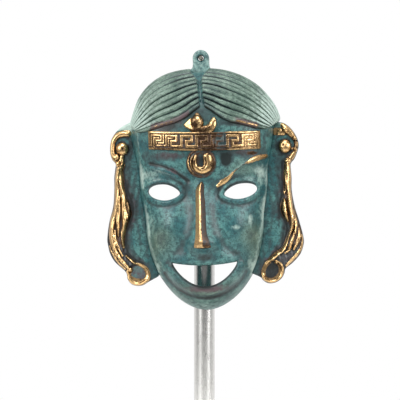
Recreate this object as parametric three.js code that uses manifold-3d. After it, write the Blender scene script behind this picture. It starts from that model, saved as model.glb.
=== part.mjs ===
// A small theatre mask of cast bronze, hung on a rod stand of polished steel.
// Units are millimetres, +Z is up, the mask faces -Y, and the origin is the middle of the foot's underside.
// The mask is shaped in a frame of its own: u to the viewer's right, v up, and w forward from the flat rim
// that would lie against a wall. The rim is the plane w = 0.
import * as THREE from "three";
import { mergeVertices } from "three/addons/utils/BufferGeometryUtils.js";
import Module from "manifold-3d";

const wasm = await Module();
wasm.setup();

// Crown of the head, with its hair parted in the middle
const wall = 3.0;
const crown = { halfWidth: 44.8, centre: 25, rise: 45.7, squareness: 2.35, depth: 34 };
const crownLean = [[30, 0.4], [40, 1.6], [47, 1.6], [54, 0.7], [60, 0.2], [67, -0.8]];
const hairline = { apex: 48.8, foot: 33.2, halfWidth: 38, bend: 1.25 };
const strands = { count: 7, columns: 7, relief: 1.8, sweep: 77, crowding: 1.2 };
const parting = { halfWidth: 1.5, top: 69.5, relief: 1.3 };

// Face
const face = { browHalfWidth: 42, halfWidth: 37.5, jawHalfWidth: 34.6, jawCentre: -20, jawDrop: 49.3, jawCurve: 1.85, rays: 40 };
const faceDepths = [[-70, 31], [-56, 30], [-42, 28.5], [-25, 28], [-5, 28], [10, 30], [30, 31.5], [60, 31.5]];
const eyes = [{ side: -1, u: 21.8, v: -1, slant: 5 }, { side: 1, u: 21.6, v: -1.4, slant: 10 }];
const eye = { halfLength: 9.3, halfHeight: 4.4, sides: 16 };
const lid = { gap: 1.9, halfWidth: 1.5, relief: 1.1 };
const mouth = { halfWidth: 18.4, corner: -41, topSag: 1.6, drop: 13.6, curve: 0.8, steps: 10 };
const lip = { gap: 2.9, halfWidth: 2.6, relief: 1.4 };
const nose = { top: 3.5, tip: -33, halfWidth: 2.8, tipHalfWidth: 4.6, lift: 1.7 };
const brows = [
  { side: -1, line: [[11, 6.4], [14, 9.4], [20.3, 13], [26, 14.4], [33, 14.4]] },
  { side: 1, line: [[8.6, 2], [14, 6.2], [22.1, 12.6], [27.5, 15.8], [36, 18.4]] },
];
const brow = { halfWidth: 1.8, relief: 1.8 };

// Headband, bud and boss
const band = { left: -29.8, right: 33.8, low: 21.7, high: 32, bow: 1.05, slope: -0.026, lift: 1.6, border: 1.2, steps: 12 };
const key = { module: 1.3, start: -29, repeats: 8, lift: 0.7 };
const bud = { u: -1.6, v: 37.9, radius: 3.4, leafHalfSpan: 8.2 };
const boss = { v: 15.1, radius: 7.3, lift: 2.6, ringRadius: 4, ringHalfWidth: 1.1 };

// Hair at the sides: a low channel beside the face, then the lock. Shares run from the inner to the outer edge.
const channel = { depth: 9, start: 32, wave: 1.5 };
const lockOuter = [[42, 43.2], [36, 45.5], [16, 50.2], [0, 51.2], [-14, 53.4], [-28, 56.5], [-36, 55], [-42, 51],
  [-47, 45], [-50, 41]];
const lockInner = [[42, 40.5], [30, 42], [16, 45.6], [0, 45], [-12, 43], [-20, 45.5], [-26, 45.8], [-32, 43],
  [-42, 37], [-50, 35]];
const lockSection = [[0, 9], [0.12, 13.6], [0.25, 12], [0.4, 14.2], [0.52, 12.4], [0.66, 13.8], [0.78, 11.6],
  [0.9, 11.6], [1, 1.5]];
const lock = { top: 38, bottom: -49, rows: 16, endsAt: -43 };
const rosettes = [{ u: -46.3, v: 25.5 }, { u: 48, v: 24.5 }];
const rosette = { sides: 14, stretch: 1.48, section: [[7.1, 0], [7.1, 9.6], [6.2, 11.4], [4.9, 11.2], [4, 9.4],
  [3.3, 9.4], [2.4, 11.8], [0.9, 12.8]] };
const curl = { u: 38.6, v: -47.7, sides: 16, section: [[6.5, 0], [6.5, 9], [5.6, 11], [4.4, 11], [3.4, 8.4], [0.6, 8]] };
const curlStrand = { halfWidth: 1.6, relief: 1.6, path: [[46.2, -14, 13.6], [48.2, -22, 13.8], [47.6, -28, 13.6],
  [45, -34, 12.8], [40.8, -38.4, 11.6], [36.6, -41.6, 10.8], [34.2, -45.6, 10.4], [34.4, -49.6, 9.8]] };

// Hanging lug
const lug = { halfWidth: 4.7, holeHeight: 76.1, holeRadius: 1.6, depth: 4.0, foot: 62 };

// Stand, and how the mask hangs on it
const foot = { radius: 50, height: 8, chamfer: 1 };
const rod = { radius: 6, topBelowHole: 14.6, sink: 5 };
const pin = { radius: 1.2, sink: 8, bend: 3, proud: 1.6 };
const clearance = 0.3;
const tolerance = 0.02;
const chinAboveFoot = 81;
const maskTilt = THREE.MathUtils.degToRad(1.5);
const maskShift = -1.5;

const sides = [-1, 1];
const lerp = THREE.MathUtils.lerp;
const smooth = (x, a, b) => THREE.MathUtils.smoothstep(x, a, b);
const range = (count) => Array.from({ length: count }, (_, i) => i);

// A value read along [position, value] stations, on a curve through them.
function along(stations, x) {
  const row = [...stations].sort((a, b) => a[0] - b[0]);
  const last = row.length - 1;
  if (x <= row[0][0]) return row[0][1];
  if (x >= row[last][0]) return row[last][1];
  const i = row.findIndex((s) => s[0] >= x);
  const h = row[i][0] - row[i - 1][0];
  const slope = (k) => {
    const a = row[Math.max(k - 1, 0)];
    const b = row[Math.min(k + 1, last)];
    return ((b[1] - a[1]) / (b[0] - a[0])) * h;
  };
  const t = (x - row[i - 1][0]) / h;
  const ease = t * t * (3 - 2 * t);
  return (
    (1 - ease) * row[i - 1][1] + ease * row[i][1] +
    t * (1 - t) ** 2 * slope(i - 1) - t ** 2 * (1 - t) * slope(i)
  );
}

// A rounded cushion: full depth in the middle, down to nothing where reach is 1.
const cushion = (reach, depth) => (reach < 1 ? depth * (1 - reach ** 3) ** (1 / 2.3) : -1);

const hill = (u, v, cu, cv, ru, rv) => Math.exp(-(((u - cu) / ru) ** 2) - ((v - cv) / rv) ** 2);

function distanceToLine(u, v, [au, av], [bu, bv]) {
  const t = ((u - au) * (bu - au) + (v - av) * (bv - av)) / ((bu - au) ** 2 + (bv - av) ** 2);
  const k = THREE.MathUtils.clamp(t, 0, 1);
  return Math.hypot(u - lerp(au, bu, k), v - lerp(av, bv, k));
}

// The lower edge of the hair over the forehead, a pointed arch.
function hairlineAt(u) {
  const out = Math.min(Math.abs(u) / hairline.halfWidth, 1);
  return hairline.foot + (hairline.apex - hairline.foot) * (1 - out) ** hairline.bend;
}

// The two big forms. With an inset they give the hollow behind the wall. The crown leans a little to one side.
function crownForm(u, v, inset) {
  const across = Math.abs(u - along(crownLean, v)) / (crown.halfWidth - inset);
  const up = Math.max(v - crown.centre, 0) / (crown.rise - inset);
  const reach = (across ** crown.squareness + up ** crown.squareness) ** (1 / crown.squareness);
  return cushion(reach, crown.depth - inset);
}

function faceForm(u, v, inset) {
  const cheek = lerp(face.jawHalfWidth, face.halfWidth, smooth(v, face.jawCentre, 5));
  const half = lerp(cheek, face.browHalfWidth, smooth(v, 8, 36)) - inset;
  const down = Math.max(face.jawCentre - v, 0) / (face.jawDrop - inset);
  const up = Math.max(v - 20, 0) / (40 - inset);
  const curve = face.jawCurve;
  const reach = ((Math.abs(u) / half) ** curve + down ** curve + up ** 4) ** (1 / curve);
  return cushion(reach, along(faceDepths, v) - inset) + modelling(u, v);
}

// Brow hollows, cheeks, folds, and the soft body of the nose and lips.
function modelling(u, v) {
  const out = Math.abs(u);
  const noseRise = along([[-39, 0], [-36, 2], [-32.5, 6.5], [-28.5, 8], [-15, 5], [0, 2], [8, 0]], v);
  const noseHalf = lerp(4, 7, smooth(-v, 0, 30));
  return (
    -2.6 * hill(out, v, 20, 4.5, 10, 5) - 1.5 * hill(out, v, 11, -3, 4.5, 7) +
    2.4 * hill(out, v, 20, -19.5, 9, 8) + 1.6 * hill(u, v, 0, -38.5, 13, 5) +
    2.2 * hill(out, v, 7, -30, 3, 3.2) + noseRise * Math.exp(-((u / noseHalf) ** 2)) -
    1.6 * Math.exp(-((distanceToLine(out, v, [10.5, -30], [20, -38.5]) / 2.6) ** 2))
  );
}

const surface = (u, v) => Math.max(faceForm(u, v, 0), v > hairlineAt(u) ? crownForm(u, v, 0) : 0, 0.5);

// The hollow of the crown keeps the wall under the forehead, which lies lower than the hair.
function underCrown(u, v) {
  const hair = crownForm(u, v, wall);
  return v > hairlineAt(u) + wall ? hair : Math.min(hair, faceForm(u, v, wall));
}

// Mask points [u, v, w] go to x, y, z.
function bodyOf(points, faces) {
  const geometry = new THREE.BufferGeometry();
  geometry.setAttribute("position", new THREE.Float32BufferAttribute(points.flatMap(([u, v, w]) => [u, -w, v]), 3));
  geometry.setIndex(faces.flat());
  return solidOf(geometry);
}

function solidOf(geometry) {
  const bare = geometry.clone();
  bare.deleteAttribute("normal");
  bare.deleteAttribute("uv");
  const merged = mergeVertices(bare, 1e-4);
  const index = new Uint32Array(merged.index.array);
  const made = new wasm.Manifold(
    new wasm.Mesh({ numProp: 3, vertProperties: merged.attributes.position.array, triVerts: index }),
  );
  if (made.volume() > 0) return made;
  merged.setIndex(new THREE.BufferAttribute(index.reverse(), 1));
  return solidOf(merged);
}

function geometryOf(solid) {
  const mesh = solid.getMesh();
  const at = new Float32Array(mesh.numVert * 3);
  for (let i = 0; i < mesh.numVert; i++) {
    at.set(mesh.vertProperties.subarray(i * mesh.numProp, i * mesh.numProp + 3), i * 3);
  }
  const geometry = new THREE.BufferGeometry();
  geometry.setAttribute("position", new THREE.BufferAttribute(at, 3));
  geometry.setIndex(new THREE.BufferAttribute(mesh.triVerts, 1));
  geometry.computeVertexNormals();
  return geometry;
}

// A body from loops of points, one beside the next; the first and last loops are closed flat or by a fan.
function loft(loops, ring = false) {
  const n = loops[0].length;
  const points = loops.flat();
  const faces = [];
  const spans = ring ? loops.length : loops.length - 1;
  for (let r = 0; r < spans; r++) {
    for (let i = 0; i < n; i++) {
      const j = (i + 1) % n;
      const a = r * n;
      const b = ((r + 1) % loops.length) * n;
      faces.push([a + i, a + j, b + j], [a + i, b + j, b + i]);
    }
  }
  if (ring) return bodyOf(points, faces);
  const middle = (loop) => [0, 1, 2].map((k) => loop.reduce((sum, p) => sum + p[k], 0) / n);
  const first = points.push(middle(loops[0])) - 1;
  const last = points.push(middle(loops[loops.length - 1])) - 1;
  const end = (loops.length - 1) * n;
  for (let i = 0; i < n; i++) {
    const j = (i + 1) % n;
    faces.push([first, j, i], [last, end + i, end + j]);
  }
  return bodyOf(points, faces);
}

// A body under a grid of points, its rows running up and its columns running right, with a flat back at the floor.
function slab(grid, floor) {
  const rows = grid.length;
  const cols = grid[0].length;
  const back = rows * cols;
  const at = (r, c) => r * cols + c;
  const points = [...grid.flat(), ...grid.flat().map(([u, v]) => [u, v, floor])];
  const faces = range(rows - 1).flatMap((r) =>
    range(cols - 1).flatMap((c) => {
      const [a, b, d, e] = [at(r, c), at(r, c + 1), at(r + 1, c + 1), at(r + 1, c)];
      return [[a, b, d], [a, d, e], [back + a, back + d, back + b], [back + a, back + e, back + d]];
    }),
  );
  const edge = [
    ...range(cols - 1).map((c) => at(0, c)),
    ...range(rows - 1).map((r) => at(r, cols - 1)),
    ...range(cols - 1).map((c) => at(rows - 1, cols - 1 - c)),
    ...range(rows - 1).map((r) => at(rows - 1 - r, 0)),
  ];
  edge.forEach((a, i) => {
    const b = edge[(i + 1) % edge.length];
    faces.push([a, back + a, back + b], [a, back + b, b]);
  });
  return bodyOf(points, faces);
}

// The headband bows a little and slopes, as the mask hangs askew and the band lies level.
const bandRise = (u) => band.bow * (u / 30) ** 2 + band.slope * u;

// A strip laid across the mask between two heights v, from sink below its surface to lift above it.
function strip(low, high, lift, sink) {
  return loft(range(band.steps + 1).map((i) => {
    const u = lerp(band.left, band.right, i / band.steps);
    const [below, above] = [low + bandRise(u), high + bandRise(u)];
    const [a, b] = [surface(u, below), surface(u, above)];
    return [[u, below, a - sink], [u, below, a + lift], [u, above, b + lift], [u, above, b - sink]];
  }));
}

// A flat outline of [u, v] points draped on the mask: from sink below its surface to lift above it.
function drape(outline, lift, sink) {
  const flat = outline.map(([u, v]) => new THREE.Vector2(u, v));
  if (THREE.ShapeUtils.isClockWise(flat)) flat.reverse();
  const n = flat.length;
  const points = [lift, -sink].flatMap((level) => flat.map((p) => [p.x, p.y, surface(p.x, p.y) + level]));
  const faces = THREE.ShapeUtils.triangulateShape(flat, []).flatMap(([a, b, c]) => [[a, b, c], [n + a, n + c, n + b]]);
  for (let i = 0; i < n; i++) {
    const j = (i + 1) % n;
    faces.push([i, n + i, n + j], [i, n + j, j]);
  }
  return bodyOf(points, faces);
}

// A dome over a form: rays leave the middle, each runs to where the form ends, and loops lie on the surface.
function domeOf(form, middle, rays, shares, floor) {
  const reachOf = (angle) => {
    let near = 5;
    let far = 90;
    for (let step = 0; step < 24; step++) {
      const r = (near + far) / 2;
      if (form(r * Math.sin(angle), middle + r * Math.cos(angle)) > 0) near = r;
      else far = r;
    }
    return near;
  };
  const angles = range(rays).map((i) => (i / rays) * 2 * Math.PI);
  const reaches = angles.map(reachOf);
  const loops = shares.map((share) =>
    angles.map((angle, i) => {
      const u = reaches[i] * share * Math.sin(angle);
      const v = middle + reaches[i] * share * Math.cos(angle);
      return [u, v, share < 1 ? Math.max(form(u, v), floor + 0.5) : floor];
    }),
  );
  return loft(loops);
}

// A cord laid along a path of [u, v, w], halfWidth and height giving its section from start to end.
function cord(path, halfWidth, height, sideCount = 4, ring = false) {
  const spots = path.map((p) => new THREE.Vector3(...p));
  const count = spots.length;
  const loops = spots.map((p, i) => {
    const before = spots[ring ? (i + count - 1) % count : Math.max(i - 1, 0)];
    const after = spots[ring ? (i + 1) % count : Math.min(i + 1, count - 1)];
    const ahead = after.clone().sub(before).normalize();
    const across = new THREE.Vector3(-ahead.y, ahead.x, 0).normalize();
    const share = i / (count - 1);
    return range(sideCount).map((k) => {
      const turn = ((k + 0.5) / sideCount) * 2 * Math.PI;
      const spot = p.clone().addScaledVector(across, halfWidth(share) * Math.sin(turn));
      return [spot.x, spot.y, spot.z + height * Math.cos(turn)];
    });
  });
  return loft(loops, ring);
}

// A turned shape standing on the mask, its section given as [radius, w], the middle last.
function turned(u, v, section, sideCount, stretch = 1) {
  return loft(section.map(([r, w]) =>
    range(sideCount).map((i) => {
      const turn = ((i + 0.5) / sideCount) * 2 * Math.PI;
      return [u + r * Math.sin(turn), v + stretch * r * Math.cos(turn), w];
    }),
  ));
}

// The eye's outline, grown by gap: an almond, blunt outside, slanting up and out.
function eyeSpot({ side, u: middle, v: height, slant: degrees }, share, gap) {
  const turn = share * 2 * Math.PI;
  const inward = Math.max(-Math.cos(turn), 0) ** 2;
  const s = (eye.halfLength + gap) * Math.cos(turn);
  const h = (eye.halfHeight + gap) * Math.sin(turn) * (1 - 0.3 * inward);
  const slant = THREE.MathUtils.degToRad(degrees);
  const u = middle + s * Math.cos(slant) - h * Math.sin(slant);
  return [side * u, height + s * Math.sin(slant) + h * Math.cos(slant)];
}

// The mouth is a half moon: an upper edge with a little sag, and a deep lower edge.
function mouthEdge(drop, curve, grow) {
  return range(mouth.steps + 1).map((i) => {
    const c = Math.cos((i / mouth.steps) * Math.PI);
    const fall = drop * Math.max(1 - c * c, 0) ** curve + grow;
    return [(mouth.halfWidth + grow * 0.8) * c, mouth.corner - fall];
  });
}

function mouthOutline() {
  const lower = mouthEdge(mouth.drop, mouth.curve, 0).reverse();
  return [...mouthEdge(mouth.topSag, 1, 0), ...lower.slice(1, -1)];
}

const cutThrough = (outline) => loft([-5, 60].map((w) => outline.map(([u, v]) => [u, v, w])));

// A point lifted square to the crown's surface.
function overCrown(u, v, lift) {
  const form = (a, b) => Math.max(crownForm(a, b, 0), 0);
  const step = 0.1;
  const rise = [form(u - step, v) - form(u + step, v), form(u, v - step) - form(u, v + step), 2 * step];
  const normal = new THREE.Vector3(...rise).setLength(lift);
  return [u + normal.x, v + normal.y, Math.max(form(u, v) + normal.z, 1)];
}

// The crown's hair: rows alternate between groove and crest, from the hairline to the outline of the head.
function crownHair() {
  const rows = 2 * strands.count;
  return slab(range(rows + 1).map((r) => {
    const share = Math.sin((strands.crowding * r) / rows) / Math.sin(strands.crowding);
    return range(2 * strands.columns + 1).map((c) => {
      const s = c / strands.columns - 1;
      const out = Math.abs(s);
      const turn = THREE.MathUtils.degToRad(strands.sweep) * out;
      const power = 2 / crown.squareness;
      const lowU = hairline.halfWidth * out;
      const v = lerp(hairlineAt(lowU), crown.centre + crown.rise * Math.cos(turn) ** power, share);
      const u = Math.sign(s) * lerp(lowU, crown.halfWidth * Math.sin(turn) ** power, share) + along(crownLean, v);
      const crest = strands.relief * lerp(1, 0.6, out);
      return r < rows ? overCrown(u, v, r % 2 ? crest : 0.01) : [u, v, 1];
    });
  }), 0);
}

function partingRidge() {
  const path = [hairline.apex + 1, 56, 63, parting.top].map((v) => {
    const u = along(crownLean, v);
    return [u, v, Math.max(crownForm(u, v, 0), 4) + 0.9];
  });
  return cord(path, () => parting.halfWidth, parting.relief);
}

// The channel and the lock on one side, in columns from the face outward and rows from the bottom up.
function sideHair(side, inset = 0) {
  const grid = range(lock.rows).map((r) => {
    const v = lerp(lock.bottom + inset, lock.top - inset, r / (lock.rows - 1));
    const inner = along(lockInner, v);
    const outer = along(lockOuter, v) - inset;
    const wave = inner - 2.4 + channel.wave * Math.sin(v / 9);
    const low = [[channel.start, channel.depth], [wave - 2.2, channel.depth], [wave, channel.depth + 1.6]];
    const top = v > 18 || v < lock.endsAt ? 8.6 : 99;
    const whole = lockSection.map(([share, w]) => [lerp(inner, outer, share), Math.min(w, top)]);
    const hollow = [[inner, 9], [inner + 1.5, Math.min(12, top)], [outer, 8]];
    return [...low, ...(inset ? hollow : whole)].map(([u, w]) => [side * u, v, Math.max(w - inset, 1)]);
  });
  return slab(side > 0 ? grid : grid.map((row) => row.reverse()), inset ? -2 : 0);
}

function lockEnds(side) {
  const path = curlStrand.path.map(([u, v, w]) => [side * u, v, w]);
  const flower = rosettes.find(({ u }) => u * side > 0);
  return [
    turned(flower.u, flower.v, rosette.section, rosette.sides, rosette.stretch),
    turned(side * curl.u, curl.v, curl.section, curl.sides),
    cord(path, () => curlStrand.halfWidth, curlStrand.relief),
  ];
}

// The headband, with a running Greek key between two borders.
function headband() {
  const high = band.lift + key.lift;
  // The key's path in modules, thickened to a line one module wide.
  const m = key.module;
  const low = (band.low + band.high) / 2 - 2.5 * m;
  const start = key.start;
  const upper = [[0, 5], [5, 5], [5, 2], [3, 2], [3, 1], [6, 1]];
  const lower = [[1, 0], [1, 4], [4, 4], [4, 3], [2, 3], [2, 0]];
  const repeat = (corners) => range(key.repeats).flatMap((i) => corners.map(([u, v]) => [6 * i + u, v]));
  const outline = [[0, 0], ...repeat(upper), [key.repeats * 6, 0], ...repeat(lower).reverse()];
  return [
    strip(band.low, band.high, band.lift, 1.5),
    strip(band.low, band.low + band.border, high, 0.5),
    strip(band.high - band.border, band.high, high, 0.5),
    drape(outline.map(([u, v]) => [start + u * m, low + v * m + bandRise(start + u * m)]), high, 0.5),
  ];
}

// The bud over the band, held in two leaves, and the round boss under it with its horseshoe.
function budAndBoss() {
  const leaf = (side) => {
    const path = [0, 0.35, 0.7, 1].map((s) => {
      const u = bud.leafHalfSpan * side * s;
      const v = band.high + 1 + 5.2 * s ** 2.2;
      return [u, v, surface(u, v) + 0.8];
    });
    return cord(path, (s) => lerp(1.9, 0.5, s ** 2), 1.5);
  };
  const under = surface(0, bud.v) - 2;
  const base = surface(0, boss.v) - 2;
  const horseshoe = range(9).map((i) => {
    const turn = lerp(-0.78, 0.78, i / 8) * Math.PI;
    return [boss.ringRadius * Math.sin(turn), boss.v - boss.ringRadius * Math.cos(turn), base + boss.lift + 1.6];
  });
  const budSection = [[1, 0], [1, 3.2], [0.8, 4.4], [0.25, 5]].map(([r, w]) => [bud.radius * r, under + w]);
  const bossSection = [[1, 0], [0.96, 2.6], [0.8, 3.9], [0.4, 4.2], [0.2, 3.4]].map(
    ([r, w]) => [boss.radius * r, base + w]);
  return [
    leaf(-1), leaf(1),
    turned(bud.u, bud.v, budSection, 8, 1.2),
    turned(0, boss.v, bossSection, 14),
    cord(horseshoe, () => boss.ringHalfWidth, 1.2),
  ];
}

function noseBar() {
  const path = [nose.top, -8, -20, -28, nose.tip + 1.5, nose.tip].map((v) => [0, v, surface(0, v)]);
  return cord(path, (s) => 1.3 * lerp(nose.halfWidth, nose.tipHalfWidth, smooth(s, 0.7, 1)), nose.lift);
}

function browRidges() {
  return brows.map(({ side, line }) => {
    const path = line.map(([u, v]) => [side * u, v, surface(u, v)]);
    return cord(path, (s) => lerp(1.1, brow.halfWidth, smooth(s, 0, 0.4)), brow.relief);
  });
}

function lids() {
  return eyes.map((one) => {
    const spots = range(eye.sides).map((i) => eyeSpot(one, i / eye.sides, lid.gap));
    return cord(spots.map(([u, v]) => [u, v, surface(u, v) - 0.2]), () => lid.halfWidth, lid.relief, 4, true);
  });
}

function lowerLip() {
  const path = mouthEdge(mouth.drop, mouth.curve, lip.gap).map(([u, v]) => [u, v, surface(u, v)]);
  return cord(path, (s) => lip.halfWidth * (0.55 + 0.45 * Math.sin(Math.PI * s)), lip.relief, 5);
}

// The hanging lug, a tab with a round head.
function hangingLug() {
  const outline = new THREE.Shape();
  outline.moveTo(-lug.halfWidth - 2, lug.foot);
  outline.lineTo(lug.halfWidth + 2, lug.foot);
  outline.quadraticCurveTo(lug.halfWidth, lug.foot + 9, lug.halfWidth, lug.holeHeight);
  outline.absarc(0, lug.holeHeight, lug.halfWidth, 0, Math.PI, false);
  outline.quadraticCurveTo(-lug.halfWidth, lug.foot + 9, -lug.halfWidth - 2, lug.foot);
  const tab = new THREE.ExtrudeGeometry(outline, { depth: lug.depth, bevelEnabled: false, curveSegments: 6 });
  return solidOf(tab.rotateX(Math.PI / 2));
}

function lugHole() {
  const drill = new THREE.CylinderGeometry(lug.holeRadius, lug.holeRadius, 4 * lug.depth, 12);
  return solidOf(drill.translate(0, 0, lug.holeHeight));
}

function maskSolid() {
  const faceLoops = [0.08, 0.22, 0.36, 0.49, 0.61, 0.72, 0.82, 0.9, 0.96, 0.99, 1];
  const hollowLoops = [0.2, 0.42, 0.62, 0.78, 0.9, 0.97, 1];
  const body = [
    domeOf((u, v) => faceForm(u, v, 0), -5, face.rays, faceLoops, 0),
    crownHair(), partingRidge(),
    ...sides.flatMap((side) => [sideHair(side), ...lockEnds(side)]),
    ...headband(), ...budAndBoss(), noseBar(), ...browRidges(), ...lids(), lowerLip(), hangingLug(),
  ];
  const hollow = [
    domeOf((u, v) => faceForm(u, v, wall), -5, 32, hollowLoops, -2),
    domeOf(underCrown, 42, 24, hollowLoops, -2),
    ...sides.map((side) => sideHair(side, wall)),
  ];
  const holes = [
    ...eyes.map((one) => cutThrough(range(eye.sides).map((i) => eyeSpot(one, i / eye.sides, 0)))),
    cutThrough(mouthOutline()),
    lugHole(),
  ];
  // Simplified, because the cuts leave slivers thinner than the tolerance.
  return wasm.Manifold.union(body).subtract(wasm.Manifold.union([...hollow, ...holes])).simplify(tolerance);
}

// Where the hole in the lug hangs, above the foot's underside.
const holeZ = foot.height + chinAboveFoot + lug.holeHeight + face.jawDrop - face.jawCentre;
const rimY = -(rod.radius + clearance);

function footSolid() {
  const c = foot.chamfer;
  const seat = rod.radius + clearance;
  const outline = [[0, 0], [foot.radius - c, 0], [foot.radius, c], [foot.radius, foot.height - c],
    [foot.radius - c, foot.height], [seat, foot.height], [seat, foot.height - rod.sink],
    [0, foot.height - rod.sink]];
  return new THREE.LatheGeometry(outline.map(([r, z]) => new THREE.Vector2(r, z)), 36).rotateX(Math.PI / 2);
}

function rodSolid() {
  const bottom = foot.height - rod.sink + clearance;
  const top = holeZ - rod.topBelowHole;
  const hole = pin.radius + clearance;
  const outline = [[0, bottom], [rod.radius, bottom], [rod.radius, top - 0.8], [rod.radius - 0.8, top],
    [hole, top], [hole, top - pin.sink], [0, top - pin.sink]];
  return new THREE.LatheGeometry(outline.map(([r, z]) => new THREE.Vector2(r, z)), 28).rotateX(Math.PI / 2);
}

// The pin stands in the rod, bends forward and passes through the lug's hole.
function pinSolid() {
  const spot = (x, y, z) => new THREE.Vector3(x, y, z);
  const low = spot(0, 0, holeZ - rod.topBelowHole + 1);
  const knee = spot(maskShift, 0, holeZ - pin.bend);
  const bent = spot(maskShift, -pin.bend, holeZ);
  const path = new THREE.CurvePath();
  path.add(new THREE.LineCurve3(spot(0, 0, low.z - 1 - pin.sink + clearance), low));
  path.add(new THREE.LineCurve3(low, knee));
  path.add(new THREE.QuadraticBezierCurve3(knee, spot(maskShift, 0, holeZ), bent));
  path.add(new THREE.LineCurve3(bent, spot(maskShift, rimY - lug.depth - pin.proud, holeZ)));
  const section = new THREE.Shape().absarc(0, 0, pin.radius, 0, 2 * Math.PI, false);
  return new THREE.ExtrudeGeometry(section, { steps: 16, extrudePath: path, curveSegments: 4 });
}

const bronze = new THREE.MeshStandardMaterial({ color: 0x4b7f78, roughness: 0.45, metalness: 0.4 });
const steel = new THREE.MeshStandardMaterial({ color: 0xb9b9b5, roughness: 0.25, metalness: 1 });

function named(name, geometry, material) {
  const mesh = new THREE.Mesh(geometry, material);
  mesh.name = name;
  return mesh;
}

// The mask turns about the lug's hole, as it hangs a little askew.
const mask = named("mask", geometryOf(maskSolid()), bronze);
mask.position.set(0, 0, -lug.holeHeight);
const hung = new THREE.Group();
hung.add(mask);
hung.rotation.y = -maskTilt;
hung.position.set(maskShift, rimY, holeZ);

const stand = new THREE.Group();
stand.add(
  hung,
  named("rod", rodSolid(), steel),
  named("pin", pinSolid(), steel),
  named("foot", footSolid(), steel),
);

export default stand;
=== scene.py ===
# A small theatre mask in cast, patinated bronze, hung on a rod stand of polished steel.
# The mask is worked out in its own millimetres: u to the viewer's right, v up, w forward from its back rim.
import math

import bpy
import numpy as np
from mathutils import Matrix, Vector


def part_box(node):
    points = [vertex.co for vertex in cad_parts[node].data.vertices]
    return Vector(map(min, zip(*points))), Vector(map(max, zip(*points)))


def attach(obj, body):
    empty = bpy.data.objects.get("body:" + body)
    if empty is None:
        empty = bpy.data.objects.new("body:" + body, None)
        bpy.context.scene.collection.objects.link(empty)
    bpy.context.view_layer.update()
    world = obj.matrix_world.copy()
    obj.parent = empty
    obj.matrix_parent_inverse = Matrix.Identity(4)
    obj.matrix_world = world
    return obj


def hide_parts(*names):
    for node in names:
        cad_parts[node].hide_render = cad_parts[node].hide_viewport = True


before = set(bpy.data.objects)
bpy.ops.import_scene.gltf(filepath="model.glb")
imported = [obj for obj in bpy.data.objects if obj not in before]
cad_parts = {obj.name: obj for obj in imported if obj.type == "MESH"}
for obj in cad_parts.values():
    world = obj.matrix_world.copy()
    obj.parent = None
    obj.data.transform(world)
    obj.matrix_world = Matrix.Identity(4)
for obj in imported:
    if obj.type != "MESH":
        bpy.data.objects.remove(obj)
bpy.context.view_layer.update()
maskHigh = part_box("mask")[1]
rodLow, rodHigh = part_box("rod")

# How the mask hangs: it turns by tilt about the hole in its lug.
hanging = {"tilt": math.radians(1.5), "shift": -1.5, "holeHeight": 76.1, "lugRadius": 4.7}
rimY = maskHigh[1] * 1000
holeZ = maskHigh[2] * 1000 - hanging["lugRadius"]


def place(points):
    # mask millimetres (u, v, w) to metres in the frame: turned about the hole, then w runs to -Y
    c, s = math.cos(hanging["tilt"]), math.sin(hanging["tilt"])
    u, v, w = points[:, 0], points[:, 1] - hanging["holeHeight"], points[:, 2]
    x = hanging["shift"] + u * c - v * s
    return np.stack([x, rimY - w, holeZ + u * s + v * c], 1) / 1000


def toMetres(points):
    # millimetres in the frame to metres
    return points / 1000


def ease(x, low, high):
    # 0 below low, 1 above high, 3t^2 - 2t^3 between
    t = np.clip((x - low) / (high - low), 0, 1)
    return t * t * (3 - 2 * t)


def lerp(a, b, t):
    # straight from a to b as t goes from 0 to 1
    return a + (b - a) * t


def bell(x, reach):
    # exp(-(x / reach)^2)
    return np.exp(-((x / reach) ** 2))


def hill(u, v, atU, atV, reachU, reachV):
    # exp(-(du^2 + dv^2)) with each distance over its reach
    return np.exp(-(((u - atU) / reachU) ** 2) - ((v - atV) / reachV) ** 2)


def rolled(gap, radius):
    # the fall of a rounded edge at a distance from it: radius - sqrt(radius^2 - (radius - gap)^2)
    inner = np.clip(gap, 0, radius)
    return radius - np.sqrt(np.maximum(radius ** 2 - (radius - inner) ** 2, 0))


def spread(values, share):
    # values set out evenly over shares 0 to 1, straight between them
    values = np.atleast_1d(values)
    return np.interp(share, np.linspace(0, 1, len(values)), values)


def fullTurn(count):
    # evenly spaced angles once round
    return np.linspace(0, 2 * np.pi, count, endpoint=False)


def oval(atU, atV, halfU, halfV, count):
    # (at + half * (sin, cos)) once round
    turn = fullTurn(count)
    return np.stack([atU + halfU * np.sin(turn), atV + halfV * np.cos(turn)], 1)


def along(stations, x):
    # the cubic curve through [position, value] stations, its slope at each one that of its two neighbours
    row = np.array(sorted(stations), float)
    at, value = row[:, 0], row[:, 1]
    slope = np.gradient(value, at)
    slope[1:-1] = (value[2:] - value[:-2]) / (at[2:] - at[:-2])
    x = np.clip(x, at[0], at[-1])
    i = np.clip(np.searchsorted(at, x) - 1, 0, len(at) - 2)
    h = at[i + 1] - at[i]
    t = (x - at[i]) / h
    blend = t * t * (3 - 2 * t)
    bend = t * (1 - t) ** 2 * slope[i] * h - t * t * (1 - t) * slope[i + 1] * h
    return (1 - blend) * value[i] + blend * value[i + 1] + bend


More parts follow.
